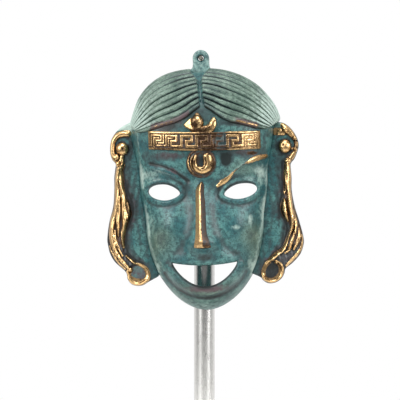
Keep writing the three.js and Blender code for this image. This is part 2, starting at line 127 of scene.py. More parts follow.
def curveThrough(points, step=0.5, closed=False):
    # Catmull-Rom curve through the points, one new point for about every step of length
    p = np.array(points, float)
    before = np.roll(p, 1, 0) if closed else np.vstack([2 * p[0] - p[1], p[:-1]])
    after = np.roll(p, -1, 0) if closed else np.vstack([p[1:], 2 * p[-1] - p[-2]])
    after2 = np.roll(p, -2, 0) if closed else np.vstack([p[2:], after[-1:], after[-1:]])
    parts = []
    for k in range(len(p) if closed else len(p) - 1):
        count = max(2, int(np.linalg.norm(after[k] - p[k]) / step))
        t = np.linspace(0, 1, count, endpoint=False)[:, None]
        parts.append(0.5 * (2 * p[k] + (after[k] - before[k]) * t
                            + (2 * before[k] - 5 * p[k] + 4 * after[k] - after2[k]) * t ** 2
                            + (3 * p[k] - before[k] - 3 * after[k] + after2[k]) * t ** 3))
    if not closed:
        parts.append(p[-1:])
    return np.vstack(parts)


def nearLine(uv, path):
    # distance from each point to a line of points, and how far along the line the nearest spot is, 0 to 1
    far = np.full(uv.shape[:-1], 1e9)
    share = np.zeros(uv.shape[:-1])
    lengths = np.linalg.norm(np.diff(path, axis=0), axis=1)
    start = np.concatenate([[0], np.cumsum(lengths)])
    for k in range(len(path) - 1):
        step = path[k + 1] - path[k]
        t = np.clip(((uv - path[k]) @ step) / max(step @ step, 1e-9), 0, 1)
        gap = np.linalg.norm(uv - path[k] - t[..., None] * step, axis=-1)
        closer = gap < far
        far = np.where(closer, gap, far)
        share = np.where(closer, (start[k] + t * lengths[k]) / start[-1], share)
    return far, share


def ridge(uv, points, halfWidth, height):
    # a rounded cord along a path, height * sqrt(1 - (distance / halfWidth)^2), its widths spread along it
    far, share = nearLine(uv, curveThrough(points))
    width = spread(halfWidth, share)
    inside = np.clip(1 - (far / width) ** 2, 0, 1)
    return height * np.sqrt(inside), ease(1 - far / width, -0.05, 0.3)


def edgeField(uv, outlines):
    # signed distance to the nearest outline, above 0 on the kept side, and the nearest spot on it;
    # each outline is (points, keepInside)
    best = np.full(uv.shape[:-1], 1e9)
    foot = uv.copy()
    for outline, keepInside in outlines:
        near = np.full(uv.shape[:-1], 1e9)
        spot = uv.copy()
        inside = np.zeros(uv.shape[:-1], bool)
        for p, q in zip(outline, np.roll(outline, -1, 0)):
            step = q - p
            t = np.clip(((uv - p) @ step) / max(step @ step, 1e-9), 0, 1)
            at = p + t[..., None] * step
            gap = np.linalg.norm(uv - at, axis=-1)
            closer = gap < near
            near = np.where(closer, gap, near)
            spot = np.where(closer[..., None], at, spot)
            if p[1] != q[1]:
                rises = (p[1] > uv[..., 1]) != (q[1] > uv[..., 1])
                inside ^= rises & (uv[..., 0] < p[0] + (uv[..., 1] - p[1]) * step[0] / step[1])
        side = np.where(inside == keepInside, near, -near)
        take = side < best
        best = np.where(take, side, best)
        foot = np.where(take[..., None], spot, foot)
    return best, foot


def gridFaces(rows, columns):
    # the four corners of every square of a grid, in order round it
    ids = np.arange(rows * columns).reshape(rows, columns)
    return np.stack([ids[:-1, :-1], ids[:-1, 1:], ids[1:, 1:], ids[1:, :-1]], -1).reshape(-1, 4)


def cutGrid(uv, outlines):
    # of each grid edge that crosses an outline, the nearer end moves onto the outline, and what lies outside
    # is dropped; a square that loses one corner keeps the triangle of the other three
    gap, foot = edgeField(uv, outlines)
    onEdge = np.zeros(gap.shape, bool)
    for here, there in (((slice(None, -1), slice(None)), (slice(1, None), slice(None))),
                        ((slice(None), slice(None, -1)), (slice(None), slice(1, None)))):
        crosses = (gap[here] > 0) != (gap[there] > 0)
        nearer = np.abs(gap[here]) <= np.abs(gap[there])
        onEdge[here] |= crosses & nearer
        onEdge[there] |= crosses & ~nearer
    moved = np.where(onEdge[..., None], foot, uv)
    corners = gridFaces(*gap.shape)
    lost = ((gap < 0) & ~onEdge).ravel()[corners]
    held = onEdge.ravel()[corners]
    middle = gap.ravel()[corners].mean(1)
    count = lost.sum(1)
    quads = corners[(count == 0) & ~(held.all(1) & (middle < 0))]
    first = np.argmax(lost[count == 1], 1)
    order = (first[:, None] + np.array([1, 2, 3])) % 4
    tris = np.take_along_axis(corners[count == 1], order, 1)
    allHeld = np.take_along_axis(held[count == 1], order, 1).all(1)
    return moved, quads, tris[~allHeld | (middle[count == 1] > 0)], np.where(onEdge, 0, gap)


def blurred(field, steps):
    # repeated averaging with the four neighbours
    out = field.copy()
    for _ in range(steps):
        wide = np.pad(out, 1, mode="edge")
        out = (wide[:-2, 1:-1] + wide[2:, 1:-1] + wide[1:-1, :-2] + wide[1:-1, 2:] + 2 * out) / 6
    return out


def makeMesh(name, points, quads, tris, paint, sharpAngle=60):
    # a mesh of the points that its faces use, with a point attribute for each paint
    used, back = np.unique(np.concatenate([quads.ravel(), tris.ravel()]), return_inverse=True)
    quads = back[:quads.size].reshape(-1, 4)
    tris = back[quads.size:].reshape(-1, 3)
    mesh = bpy.data.meshes.new(name)
    mesh.from_pydata(points[used].tolist(), [], quads.tolist() + tris.tolist(), shade_flat=False)
    for key, values in paint.items():
        layer = mesh.attributes.new(key, "FLOAT", "POINT")
        layer.data.foreach_set("value", np.ascontiguousarray(values.ravel()[used], np.float32))
    mesh.set_sharp_from_angle(angle=math.radians(sharpAngle))
    mesh.validate()
    piece = bpy.data.objects.new(name, mesh)
    bpy.context.collection.objects.link(piece)
    return piece


def shell(name, top, bottom, quads, tris, paint):
    # a top sheet, a bottom sheet with the same faces the other way round, and a wall along every open edge
    top, bottom = top.reshape(-1, 3), bottom.reshape(-1, 3)
    n = len(top)
    edges = np.concatenate([quads[:, [k, (k + 1) % 4]] for k in range(4)]
                           + [tris[:, [k, (k + 1) % 3]] for k in range(3)])
    rim = edges[~np.isin(edges[:, 0] * n + edges[:, 1], edges[:, 1] * n + edges[:, 0])]
    walls = np.stack([rim[:, 1], rim[:, 0], rim[:, 0] + n, rim[:, 1] + n], 1)
    allQuads = np.concatenate([quads, quads[:, ::-1] + n, walls])
    allTris = np.concatenate([tris, tris[:, ::-1] + n])
    paint = {key: np.concatenate([v.ravel(), np.zeros(n)]) for key, v in paint.items()}
    return makeMesh(name, place(np.concatenate([top, bottom])), allQuads, allTris, paint)


def loftRings(name, rings, paint, toFrame=place):
    # closed rings of points, one beside the next, with a fan of triangles over each end, all facing outward
    rows, n = rings.shape[:2]
    ids = np.arange(rows * n).reshape(rows, n)
    nxt = np.roll(ids, -1, 1)
    quads = np.stack([ids[:-1], nxt[:-1], nxt[1:], ids[1:]], -1).reshape(-1, 4)
    points = np.concatenate([rings.reshape(-1, 3), [rings[0].mean(0), rings[-1].mean(0)]])
    first, last = rows * n, rows * n + 1
    tris = np.concatenate([np.stack([np.full(n, first), nxt[0], ids[0]], 1),
                           np.stack([np.full(n, last), ids[-1], nxt[-1]], 1)])
    volume = sum(np.einsum("ij,ij->", points[faces[:, 0]],
                           np.cross(points[faces[:, k]], points[faces[:, k + 1]]))
                 for faces in (quads, tris) for k in range(1, faces.shape[1] - 1))
    if volume < 0:
        quads, tris = quads[:, ::-1], tris[:, ::-1]
    full = {key: np.concatenate([v.ravel(), [v[0].mean(), v[-1].mean()]]) for key, v in paint.items()}
    return makeMesh(name, toFrame(points), quads, tris, full)


def reliefPiece(name, outline, spacing, height, under, holes=(), roll=0.8):
    # a plate cut to an outline on a square lattice: height(u, v, gap) gives its top and its paint,
    # under(u, v, gap) its back; the top falls off round every edge with the given radius
    outlines = [(outline, True)] + [(hole, False) for hole in holes]
    low, high = outline.min(0) - spacing, outline.max(0) + spacing
    u, v = np.meshgrid(np.arange(low[0], high[0], spacing), np.arange(low[1], high[1], spacing))
    uv, quads, tris, gap = cutGrid(np.stack([u, v], -1), outlines)
    w, paint = height(uv[..., 0], uv[..., 1], gap)
    w = w - rolled(gap, roll)
    back = under(uv[..., 0], uv[..., 1], gap)
    return shell(name, np.dstack([uv, w]), np.dstack([uv, np.minimum(back, w - 0.3)]), quads, tris, paint)


def cord(name, path, halfWidth, height, paint, sides=16):
    # an oval section carried along a path of (u, v, w) and closed round at its ends; widths and paints are
    # spread along it
    p = curveThrough(path, 0.35)
    share = np.linspace(0, 1, len(p))
    width = spread(halfWidth, share)
    length = np.linalg.norm(np.diff(p, axis=0), axis=1).sum()
    toEnd = np.minimum(share, 1 - share) * length
    width = width * np.sqrt(np.clip(1 - (1 - np.clip(toEnd / np.maximum(width, 0.1), 0, 1)) ** 2, 0.02, 1))
    ahead = np.gradient(p, axis=0)
    across = np.stack([-ahead[:, 1], ahead[:, 0], 0 * ahead[:, 0]], 1)
    across /= np.linalg.norm(across, axis=1)[:, None]
    turn = fullTurn(sides)
    tall = height * (width / np.max(halfWidth))
    rings = (p[:, None] + across[:, None] * (width[:, None] * np.sin(turn))[..., None]
             + np.array([0, 0, 1.0]) * (tall[:, None] * np.cos(turn))[..., None])
    return loftRings(name, rings, {key: np.repeat(spread(v, share)[:, None], sides, 1) for key,
                                   v in paint.items()})


def ride(piece, material):
    # gives a piece its material, its slot and the body that carries it
    piece.data.materials.append(material)
    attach(piece, "root")
    return piece


def toLinear(hexColour):
    # sRGB hex to the linear colour that a shader takes
    parts = [int(hexColour[i:i + 2], 16) / 255 for i in (1, 3, 5)]
    return tuple(p / 12.92 if p <= 0.04045 else ((p + 0.055) / 1.055) ** 2.4 for p in parts) + (1.0,)


def newMaterial(name):
    # a node material with its tree and its main shader
    material = bpy.data.materials.new(name)
    material.use_nodes = True
    return material, material.node_tree, material.node_tree.nodes["Principled BSDF"]


def addNode(tree, kind, settings=None, links=None, output=0):
    # one shader node: settings are its properties and, by number or name, its input values,
    # links are its inputs' sources, and what comes back is one of its outputs
    node = tree.nodes.new("ShaderNode" + kind)
    for key, value in (settings or {}).items():
        if isinstance(key, int) or key in node.inputs:
            node.inputs[key].default_value = value
        else:
            setattr(node, key, value)
    for key, source in (links or {}).items():
        tree.links.new(source, node.inputs[key])
    return node.outputs[output]


patina = {
    "light": "#497673", "mid": "#28575a", "deep": "#143c41",
    "sageLight": "#687d70", "sageMid": "#465c51", "sageDeep": "#2b3e37",
    # rubbedAndHighlight is the pale of rubbed crests and of painted highlights; slate and pit also colour
    # painted shade
    "rubbedAndHighlight": "#a4b7ae", "slate": "#2a3b3d", "pit": "#0a1413", "rust": "#4c3a3f", "tarnish": "#3c2a1f",
    "gold": "#cfab79", "goldDeep": "#4a3728",
    "blotch": 10.0, "mottle": 2.0, "grain": 0.6,    # millimetres; real grain is finer than the picture shows
    "satin": 0.44, "polish": 0.3, "relief": 0.0004,    # roughness of patina and of metal, height of the bump
}


def patinatedBronze():
    # cast bronze, chemically patinated blue-green, rubbed back to bare metal on the high spots and waxed:
    # the patina is mottled and satin, greyer on the hair, grey where it is thick, near black in the pits
    # and paler where hands have rubbed it; a brown line parts it from the bright metal; the same paint
    # also lays painted shade as grey and near black, and painted highlights as the pale tone
    material, tree, shader = newMaterial("patinatedBronze")
    spot = addNode(tree, "TexCoord", output="Object")
    blotch, mottle, grain = (
        addNode(tree, "TexNoise", {"Scale": 1000 / patina[size], "Detail": detail, "Roughness": rough},
                {"Vector": spot}, "Fac")
        for size, detail, rough in (("blotch", 3.0, 0.55), ("mottle", 5.0, 0.62), ("grain", 3.0, 0.6)))
    # hollow: patina in the hollows and painted shade above zero, painted highlights below zero
    paints = {key: addNode(tree, "Attribute", {"attribute_name": key}, output="Fac")
              for key in ("gold", "hollow", "sage", "rust")}
    tone = {key: toLinear(value) for key, value in patina.items() if isinstance(value, str)}
    smooth = {"interpolation_type": "SMOOTHSTEP"}
    blend = {"data_type": "RGBA"}
    # the green: pale blotches and deeper mottles, both greyer on the hair
    pale = addNode(tree, "MapRange", {**smooth, 1: 0.38, 2: 0.62}, {0: blotch})
    teal = addNode(tree, "Mix", {**blend, 6: tone["mid"], 7: tone["light"]}, {0: pale}, 2)
    sage = addNode(tree, "Mix", {**blend, 6: tone["sageMid"], 7: tone["sageLight"]}, {0: pale}, 2)
    colour = addNode(tree, "Mix", blend, {0: paints["sage"], 6: teal, 7: sage}, 2)
    deep = addNode(tree, "MapRange", {**smooth, 1: 0.44, 2: 0.64, 4: 0.85}, {0: mottle})
    deeper = addNode(tree, "Mix", {**blend, 6: tone["deep"], 7: tone["sageDeep"]}, {0: paints["sage"]}, 2)
    even = addNode(tree, "Math", {"operation": "MULTIPLY_ADD", 1: -0.5, 2: 1.0}, {0: paints["sage"]})
    deep = addNode(tree, "Math", {"operation": "MULTIPLY"}, {0: deep, 1: even})
    colour = addNode(tree, "Mix", blend, {0: deep, 6: colour, 7: deeper}, 2)
    # the mottle breaks the edge of what is laid over it: specks, pale crests of rubbing and painted
    # highlight, grey and then black hollows of patina and painted shade, with mauve stains between, and the
    # brown edge of the metal
    uneven = addNode(tree, "Math", {"operation": "MULTIPLY_ADD", 1: 0.9, 2: -0.45}, {0: mottle})
    pooledAndPaintedLight, stained, worn = (addNode(tree, "Math", {"operation": "ADD"}, {0: paints[key], 1: uneven})
                             for key in ("hollow", "rust", "gold"))
    layers = [    # what it follows, where it starts and is full, how strong it gets, its colour
        (grain, 0.49, 0.66, 0.7, "pit"),
        (pooledAndPaintedLight, -0.15, -0.9, 0.9, "rubbedAndHighlight"),
        (pooledAndPaintedLight, 0.1, 0.6, 0.8, "slate"),
        (stained, 0.15, 0.75, 0.9, "rust"),
        (pooledAndPaintedLight, 0.5, 1.0, 0.92, "pit"),
        (worn, 0.2, 0.45, 1.0, "tarnish"),
    ]
    for source, start, full, strength, name in layers:
        share = addNode(tree, "MapRange", {**smooth, 1: start, 2: full, 4: strength}, {0: source})
        colour = addNode(tree, "Mix", {**blend, 7: tone[name]}, {0: share, 6: colour}, 2)
    # bare metal, yellow on the crests and brown low down and under painted shade
    grit = addNode(tree, "Math", {"operation": "MULTIPLY_ADD", 1: 1.1, 2: -0.5}, {0: grain})
    grit = addNode(tree, "Math", {"operation": "ADD"}, {0: grit, 1: pooledAndPaintedLight})
    low = addNode(tree, "MapRange", {**smooth, 1: -0.05, 2: 0.55}, {0: grit})
    metal = addNode(tree, "Mix", {**blend, 6: tone["gold"], 7: tone["goldDeep"]}, {0: low}, 2)
    bright = addNode(tree, "MapRange", {**smooth, 1: 0.36, 2: 0.6}, {0: worn})
    colour = addNode(tree, "Mix", blend, {0: bright, 6: colour, 7: metal}, 2)
    rough = addNode(tree, "MapRange", {3: patina["satin"], 4: patina["polish"]}, {0: bright})
    rough = addNode(tree, "Math", {"operation": "MULTIPLY_ADD", 1: 0.25}, {0: uneven, 2: rough})
    rise = addNode(tree, "Math", {"operation": "MULTIPLY_ADD", 1: 0.35}, {0: grain, 2: mottle})
    bump = addNode(tree, "Bump", {"Strength": 0.5, "Distance": patina["relief"]}, {"Height": rise})
    for socket, source in (("Base Color", colour), ("Metallic", bright), ("Roughness", rough),
                           ("Normal", bump)):
        tree.links.new(source, shader.inputs[socket])
    for socket, value in (("Specular IOR Level", 0.4), ("Coat Weight", 0.06), ("Coat Roughness", 0.28)):
        shader.inputs[socket].default_value = value
    return material


def metalFinish(name, colour, rough, vary, spacing, depth, rings=False):
    # bare steel: fine lines left by drawing, grinding or turning, spacing millimetres apart
    material, tree, shader = newMaterial(name)
    spot = addNode(tree, "TexCoord", output="Object")
    if rings:
        waves = {"wave_type": "RINGS", "rings_direction": "Z", "Distortion": 1.5, "Detail": 3.0}
        lines = addNode(tree, "TexWave", {**waves, "Scale": 1000.0 / spacing / 6.28}, {"Vector": spot}, "Fac")
    else:
        stretched = addNode(tree, "Mapping", {"Scale": (1.0, 1.0, 0.04)}, {"Vector": spot})
        lines = addNode(tree, "TexNoise", {"Scale": 1000.0 / spacing, "Detail": 4.0}, {"Vector": stretched},
                        "Fac")
    smudge = addNode(tree, "TexNoise", {"Scale": 90.0, "Detail": 3.0}, {"Vector": spot}, "Fac")
    both = addNode(tree, "Mix", {"data_type": "FLOAT", "Factor": 0.4}, {2: lines, 3: smudge})
    shader.inputs["Base Color"].default_value = toLinear(colour)
    shader.inputs["Metallic"].default_value = 1.0
    level = addNode(tree, "MapRange", {1: 0.3, 2: 0.7, 3: rough - vary, 4: rough + vary}, {0: both})
    tree.links.new(level, shader.inputs["Roughness"])
    bump = addNode(tree, "Bump", {"Strength": 0.3, "Distance": depth}, {"Height": lines})
    tree.links.new(bump, shader.inputs["Normal"])
    return material


bronze = patinatedBronze()
polishedSteel = metalFinish("polishedSteel", "#e4e3e0", 0.28, 0.04, 0.5, 0.000004)    # ground and buffed bar
drawnWire = metalFinish("drawnWire", "#c9c2b4", 0.28, 0.06, 0.3, 0.00003)    # fine lines along the wire
turnedSteel = metalFinish("turnedSteel", "#b9b8b4", 0.3, 0.06, 0.6, 0.00004, rings=True)    # lathe lines
print("materials made")

wall = 3.0
crowding = 1.35    # rows lie closer towards a steep rim, as sin(crowding * share)
crown = {"halfWidth": 44.8, "centre": 25, "rise": 45.7, "squareness": 2.35, "depth": 34}
hairline = {
    "halfWidth": 38,
    "left": [[0, 46.9], [3, 46.0], [5.5, 44.8], [12.4, 41.7], [19.4, 38.4], [26.3, 36.0], [32, 34.5],
             [38, 33.2]],
    "right": [[0, 46.9], [4.8, 43.6], [8.1, 41.0], [10.8, 39.3], [15, 37.5], [21.5, 36.0], [31, 33.8],
              [38, 33.2]],
}
lean = [[30, 0.4], [40, 1.6], [47, 1.6], [54, 0.7], [60, 0.2], [67, -0.8]]    # the parting's way up the head
face = {"browHalfWidth": 42, "halfWidth": 37.5, "jawHalfWidth": 34.6, "jawCentre": -20, "jawDrop": 49.3,
        "jawCurve": 1.85, "browCentre": 20, "browRise": 40, "rim": 6.5, "middle": -5,
        "columns": 190, "rows": 240}
faceDepths = [[-70, 31], [-56, 30], [-42, 28.5], [-25, 28], [-5, 28], [10, 30], [30, 31.5], [60, 31.5]]
noseBody = [[-39, 0], [-36, 2], [-32.5, 6.5], [-28.5, 8], [-15, 5], [0, 2], [8, 0]]
noseFold = {"line": [[10.5, -30.0], [20, -38.5]], "reach": 3.0}    # from the nose to the corner of the mouth
swells = [    # brow hollow, eye corner, cheek, upper lip, side of the nose: u, v, reachU, reachV, height
    (20, 4.5, 10, 5, -2.6), (11, -3, 4.5, 7, -1.5), (20, -19.5, 9, 8, 2.4), (0, -38.5, 13, 5, 1.6),
    (7, -30, 3, 3.2, 2.2),
]


def patched(u, v, patches):
    # the sum of the patches' hills, each times its size
    return sum(size * hill(u, v, atU, atV, reachU, reachV) for atU, atV, reachU, reachV, size in patches)


def cushion(reach, depth):
    # depth * (1 - reach^3)^(1/2.3): flat in the middle, steep at its edge
    return np.where(reach < 1, depth * np.maximum(1 - reach ** 3, 0) ** (1 / 2.3), -1)


def hairlineAt(u):
    # the height of the hairline: one curve each side of the parting, level beyond its half width
    out = np.minimum(np.abs(u), hairline["halfWidth"])
    return np.where(u < 0, along(hairline["left"], out), along(hairline["right"], out))


def crownForm(u, v, inset):
    # a squarish dome: reach = (across^n + up^n)^(1/n) in shares of its half sizes, as a cushion
    across = np.abs(u - along(lean, v)) / (crown["halfWidth"] - inset)
    up = np.maximum(v - crown["centre"], 0) / (crown["rise"] - inset)
    power = crown["squareness"]
    return cushion((across ** power + up ** power) ** (1 / power), crown["depth"] - inset)


def modelling(u, v):
    # the swells, the soft body of the nose and the folds beside it
    out = np.abs(u)
    far, _ = nearLine(np.stack([out, v], -1), np.array(noseFold["line"]))
    nose = along(noseBody, v) * bell(u, lerp(4, 7, ease(-v, 0, 30)))
    return patched(out, v, swells) + nose - bell(far, noseFold["reach"])


def faceHalf(v):
    # half the face's width, eased from the jaw to the cheek and on to the brow
    cheek = lerp(face["jawHalfWidth"], face["halfWidth"], ease(v, face["jawCentre"], 5))
    return lerp(cheek, face["browHalfWidth"], ease(v, 8, 36))


def faceForm(u, v, inset):
    # a long shield: reach = (across^n + down^n + up^4)^(1/n) in shares, as a cushion with the modelling on it
    down = np.maximum(face["jawCentre"] - v, 0) / (face["jawDrop"] - inset)
    up = np.maximum(v - face["browCentre"], 0) / (face["browRise"] - inset)
    curve = face["jawCurve"]
    reach = ((np.abs(u) / (faceHalf(v) - inset)) ** curve + down ** curve + up ** 4) ** (1 / curve)
    return cushion(reach, along(faceDepths, v) - inset) + modelling(u, v)


def faceSide(v, level):
    # how far out the face still stands at a level w, from the cushion's formula turned round
    reach = (1 - (level / along(faceDepths, v)) ** 2.3) ** (1 / 3)
    down = np.maximum(face["jawCentre"] - v, 0) / face["jawDrop"]
    up = np.maximum(v - face["browCentre"], 0) / face["browRise"]
    curve = face["jawCurve"]
    return faceHalf(v) * np.maximum(reach ** curve - down ** curve - up ** 4, 0) ** (1 / curve)


eyes = [
    {"u": -21.8, "v": -1.0, "halfLength": 9.3, "halfHeight": 4.5, "slant": math.radians(5)},
    {"u": 21.6, "v": -1.4, "halfLength": 9.3, "halfHeight": 4.2, "slant": math.radians(10)},
]
mouth = {"halfWidth": 18.4, "u": 0.3, "corner": -41.0, "topSag": 1.6, "drop": 13.6, "curve": 0.8}
folds = {"lidGap": 1.5, "lidHalfWidth": 1.6, "lidRise": 0.55, "grooveGap": 3.6, "groove": 0.4,
         "shadeGap": 0.9, "creaseGap": 5.2, "crease": 0.5, "lipGap": 2.6, "lipHalfWidth": 2.2, "lipRise": 1.4,
         "chinGap": 6.0, "chinFold": 1.0, "browCut": 0.7, "crest": 1.1}
brows = [
    {"path": [(-9.5, 4.0), (-13, 6.8), (-17.4, 9.6), (-22.4, 11.6), (-29.5, 13.7)],
     "halfWidth": [1.0, 1.7, 1.7, 1.0], "rise": 0.9, "gold": [0.0]},
    {"path": [(8.9, 1.7), (11.9, 4.0), (15.0, 6.0), (18.5, 9.6), (22.0, 12.6), (26.4, 14.8), (31.2, 16.9),
              (36.4, 18.2)],
     "halfWidth": [0.9, 1.6, 1.2, 0.6, 0.5, 0.6, 1.5, 1.7, 1.2], "rise": 1.3,
     "gold": [0.8, 1.0, 0.8, 0.42, 0.36, 0.4, 0.8, 0.95, 0.9]},
]
# the cut above the left brow
browLine = [(-7.4, 5.1), (-12, 8.5), (-16.7, 11.4), (-22.3, 13.4), (-28.8, 15.4)]
faceCrests = [    # where the front of the face turns to its sides
    [(-36.2, 33.4), (-35.6, 23.7), (-35.4, 15.1), (-34.4, 0.8), (-33.0, -10.1), (-32.1, -21.0),
     (-31.0, -29.9), (-29.1, -38.2), (-25.6, -48.9)],
    [(37.9, 27.5), (38.0, 18.9), (37.6, 10.2), (36.4, 1.8), (33.9, -16.7), (32.2, -25.0), (31.0, -31.5),
     (29.3, -39.8), (26.6, -49.3)],
]
# tones laid over the face, each u, v, reachU, reachV, strength
# dark patches: blotches of patina, and painted shade under the hairline and the band, at the mouth's corners,
# on the cheekbone and beside the nose
patinaAndShadePatches = [
    (14.2, 16.0, 2.8, 3.1, 2.2), (-22, 18.6, 12, 3.0, 0.55), (-14, 15.2, 4, 3, 0.2), (-2, 42, 15, 6, 0.75),
    (-20, 35.6, 6, 4, 0.65), (21, 36.5, 11, 2.6, 0.85), (-21, 35.4, 11, 2.4, 0.8), (24, 20, 7, 2.2, 0.5),
    (3, 19.6, 28, 2.4, 0.5), (-8.5, 4, 3, 5, 0.4), (12, 24, 3, 7, 0.3), (4, 5.6, 5, 2.2, 0.35),
    (9.5, -1, 3, 4, 0.4), (-24.5, -27, 4.5, 5.5, 0.5), (26.4, -25.5, 3.5, 3.5, 0.45),
    (-12.9, -35.2, 4, 2.0, 0.5), (1.3, -38.6, 7, 2.2, 0.8), (18.3, -36.0, 4, 2.0, 0.5),
    (18.6, -42.4, 2.4, 2, 0.6), (-18.4, -42.4, 2.6, 2, 1.0), (-11, -1, 3, 3.5, 0.35), (-9, -9, 3, 5, 0.2),
    (-20, -9.5, 8, 1.6, 0.3), (22, -9.5, 8, 1.6, 0.3), (0, -59, 9, 3, 0.2), (-22, -48, 6, 4, 0.1),
    (-33, 24, 3, 8, 0.35), (36, 26, 3, 8, 0.35), (-6.5, -15, 3.5, 13, 0.27), (5.5, -15, 3.5, 13, 0.26),
    (22, -12, 5, 4, 0.26),
]
# painted highlights on the cheeks, temples, sides of the face and jaw, laid as the pale tone
highlightPatches = [
    (26.6, -17.4, 1.6, 4.2, 0.6), (18.6, -21.6, 2.6, 1.5, 0.5), (-9.4, -16.8, 1.3, 2.2, 0.4),
    (-27, 8.2, 7, 3.6, 0.55), (33, 9, 5, 6, 0.5), (-34, 12, 2.5, 14, 0.3), (-30, -20, 3, 12, 0.35),
    (34, -10, 3, 14, 0.5), (0, -66, 8, 3, 0.25), (27, -46, 4, 8, 0.45), (-26, -45, 3, 7, 0.3),
    (16, 33.6, 7, 1.6, 0.35), (-7, -62, 5, 2, 0.2), (-17, -60, 9, 2, 0.2),
]
sagePatches = [
    (0, -57, 22, 9, 0.9), (-24.5, -27, 7, 8, 0.9), (28, -26, 6, 8, 1.0), (24, 12, 9, 6, 0.6),
    (0, 43, 26, 8, 0.5), (-32, -40, 7, 12, 0.7), (30, -42, 7, 10, 0.6),
]
rustPatches = [(-18, 19.5, 10, 2.4, 0.55), (24, 20.5, 9, 2.0, 0.5), (-12, 38.5, 8, 3, 0.4)]
goldSpot = (28.5, 19.8, 3.0, 1.0)    # a rubbed spot above the right brow


def eyeOutline(eye, grow=0.0, count=72):
    # an almond, blunt outside and narrow towards the nose: s = length cos, h = height sin, thinned inward
    turn = fullTurn(count)
    side = math.copysign(1, eye["u"])
    inward = np.maximum(-np.cos(turn), 0) ** 2
    s = (eye["halfLength"] + grow) * np.cos(turn)
    h = (eye["halfHeight"] + grow) * np.sin(turn) * (1 - 0.3 * inward)
    c, k = math.cos(eye["slant"]), math.sin(eye["slant"])
    return np.stack([eye["u"] + side * (s * c - h * k), eye["v"] + s * k + h * c], 1)


def mouthLine(drop, curve, grow=0.0, count=40):
    # c = cos from corner to corner, falling by drop * (1 - c^2)^curve
    c = np.cos(np.linspace(0, np.pi, count))
    fall = drop * np.maximum(1 - c * c, 0) ** curve + grow
    return np.stack([mouth["u"] + (mouth["halfWidth"] + 0.8 * grow) * c, mouth["corner"] - fall], 1)


def floorAt(v):
    # the face's rim stops at a level where the side hair carries on, and reaches the wall plane at the jaw
    return face["rim"] * ease(v, -50, -46)


def reachOf(turn, inset):
    # along each ray from the middle of the face, the distance at which the form meets its floor, by halving
    near, far = np.full(turn.shape, 5.0), np.full(turn.shape, 90.0)
    for _ in range(26):
        r = (near + far) / 2
        u, v = r * np.sin(turn), face["middle"] + r * np.cos(turn)
        inside = faceForm(u, v, inset) > floorAt(v)
        near, far = np.where(inside, r, near), np.where(inside, far, r)
    return near


def faceRelief(uv):
    # lids, lip, folds, brows and crests raised on the face, with the dark patina, painted shade, painted
    # highlights and bare metal that go with them
    u, v = uv[..., 0], uv[..., 1]
    relief, gold, dark = np.zeros(u.shape), hill(u, v, *goldSpot), patched(u, v, patinaAndShadePatches)
    for eye in eyes:
        rim = eyeOutline(eye, folds["lidGap"])
        far, _ = nearLine(uv, np.vstack([rim, rim[:1]]))
        relief += folds["lidRise"] * bell(far, folds["lidHalfWidth"])
        below, _ = nearLine(uv, eyeOutline(eye, folds["grooveGap"])[30:78])
        relief -= folds["groove"] * bell(below, 1.4)
        # painted shade in the groove under the eye
        dark = np.maximum(dark, 0.15 * bell(below, 0.9) + 0.35 * bell(below, 2.4))
        # a painted shadow under the edge of the upper lid
        above, _ = nearLine(uv, eyeOutline(eye, folds["shadeGap"])[6:30])
        dark = np.maximum(dark, 0.95 * bell(above, 0.9))
        crease, _ = nearLine(uv, eyeOutline(eye, folds["creaseGap"])[6:27])
        relief -= folds["crease"] * bell(crease, 2.2)
    lip, _ = nearLine(uv, mouthLine(mouth["drop"], mouth["curve"], folds["lipGap"]))
    relief += folds["lipRise"] * np.exp(-((lip / folds["lipHalfWidth"]) ** 4))
    chin, _ = nearLine(uv, mouthLine(mouth["drop"] + 1, mouth["curve"], folds["chinGap"]))
    relief -= folds["chinFold"] * bell(chin, 1.4)
    # a painted highlight along the lower lip's ridge and painted shade in the fold under it
    dark = dark - 0.6 * bell(lip - 0.4, 0.9) * ease(v, -62, -52) + 0.6 * bell(chin, 1.5)
    cut, _ = nearLine(uv, curveThrough(browLine))
    relief -= folds["browCut"] * bell(cut, 1.2)
    # painted shade in the cut above the left brow
    dark = np.maximum(dark, 0.7 * bell(cut, 1.5))
    rust = 0.9 * bell(cut, 1.2) * hill(u, v, -15.5, 11, 4, 4)
    for brow in brows:
        rise, paint = ridge(uv, brow["path"], brow["halfWidth"], brow["rise"])
        relief += rise
        # the brow ridges painted a little paler: a painted highlight
        dark = dark - 0.12 * paint
        _, share = nearLine(uv, curveThrough(brow["path"]))
        gold = np.maximum(gold, spread(brow["gold"], share) * paint)
    for line in faceCrests:
        far, _ = nearLine(uv, curveThrough(line))
        relief += folds["crest"] * bell(far, 1.5)
        # the crests painted paler: a painted highlight
        dark = dark - 0.3 * bell(far, 1.3)
    return relief, gold, dark, rust


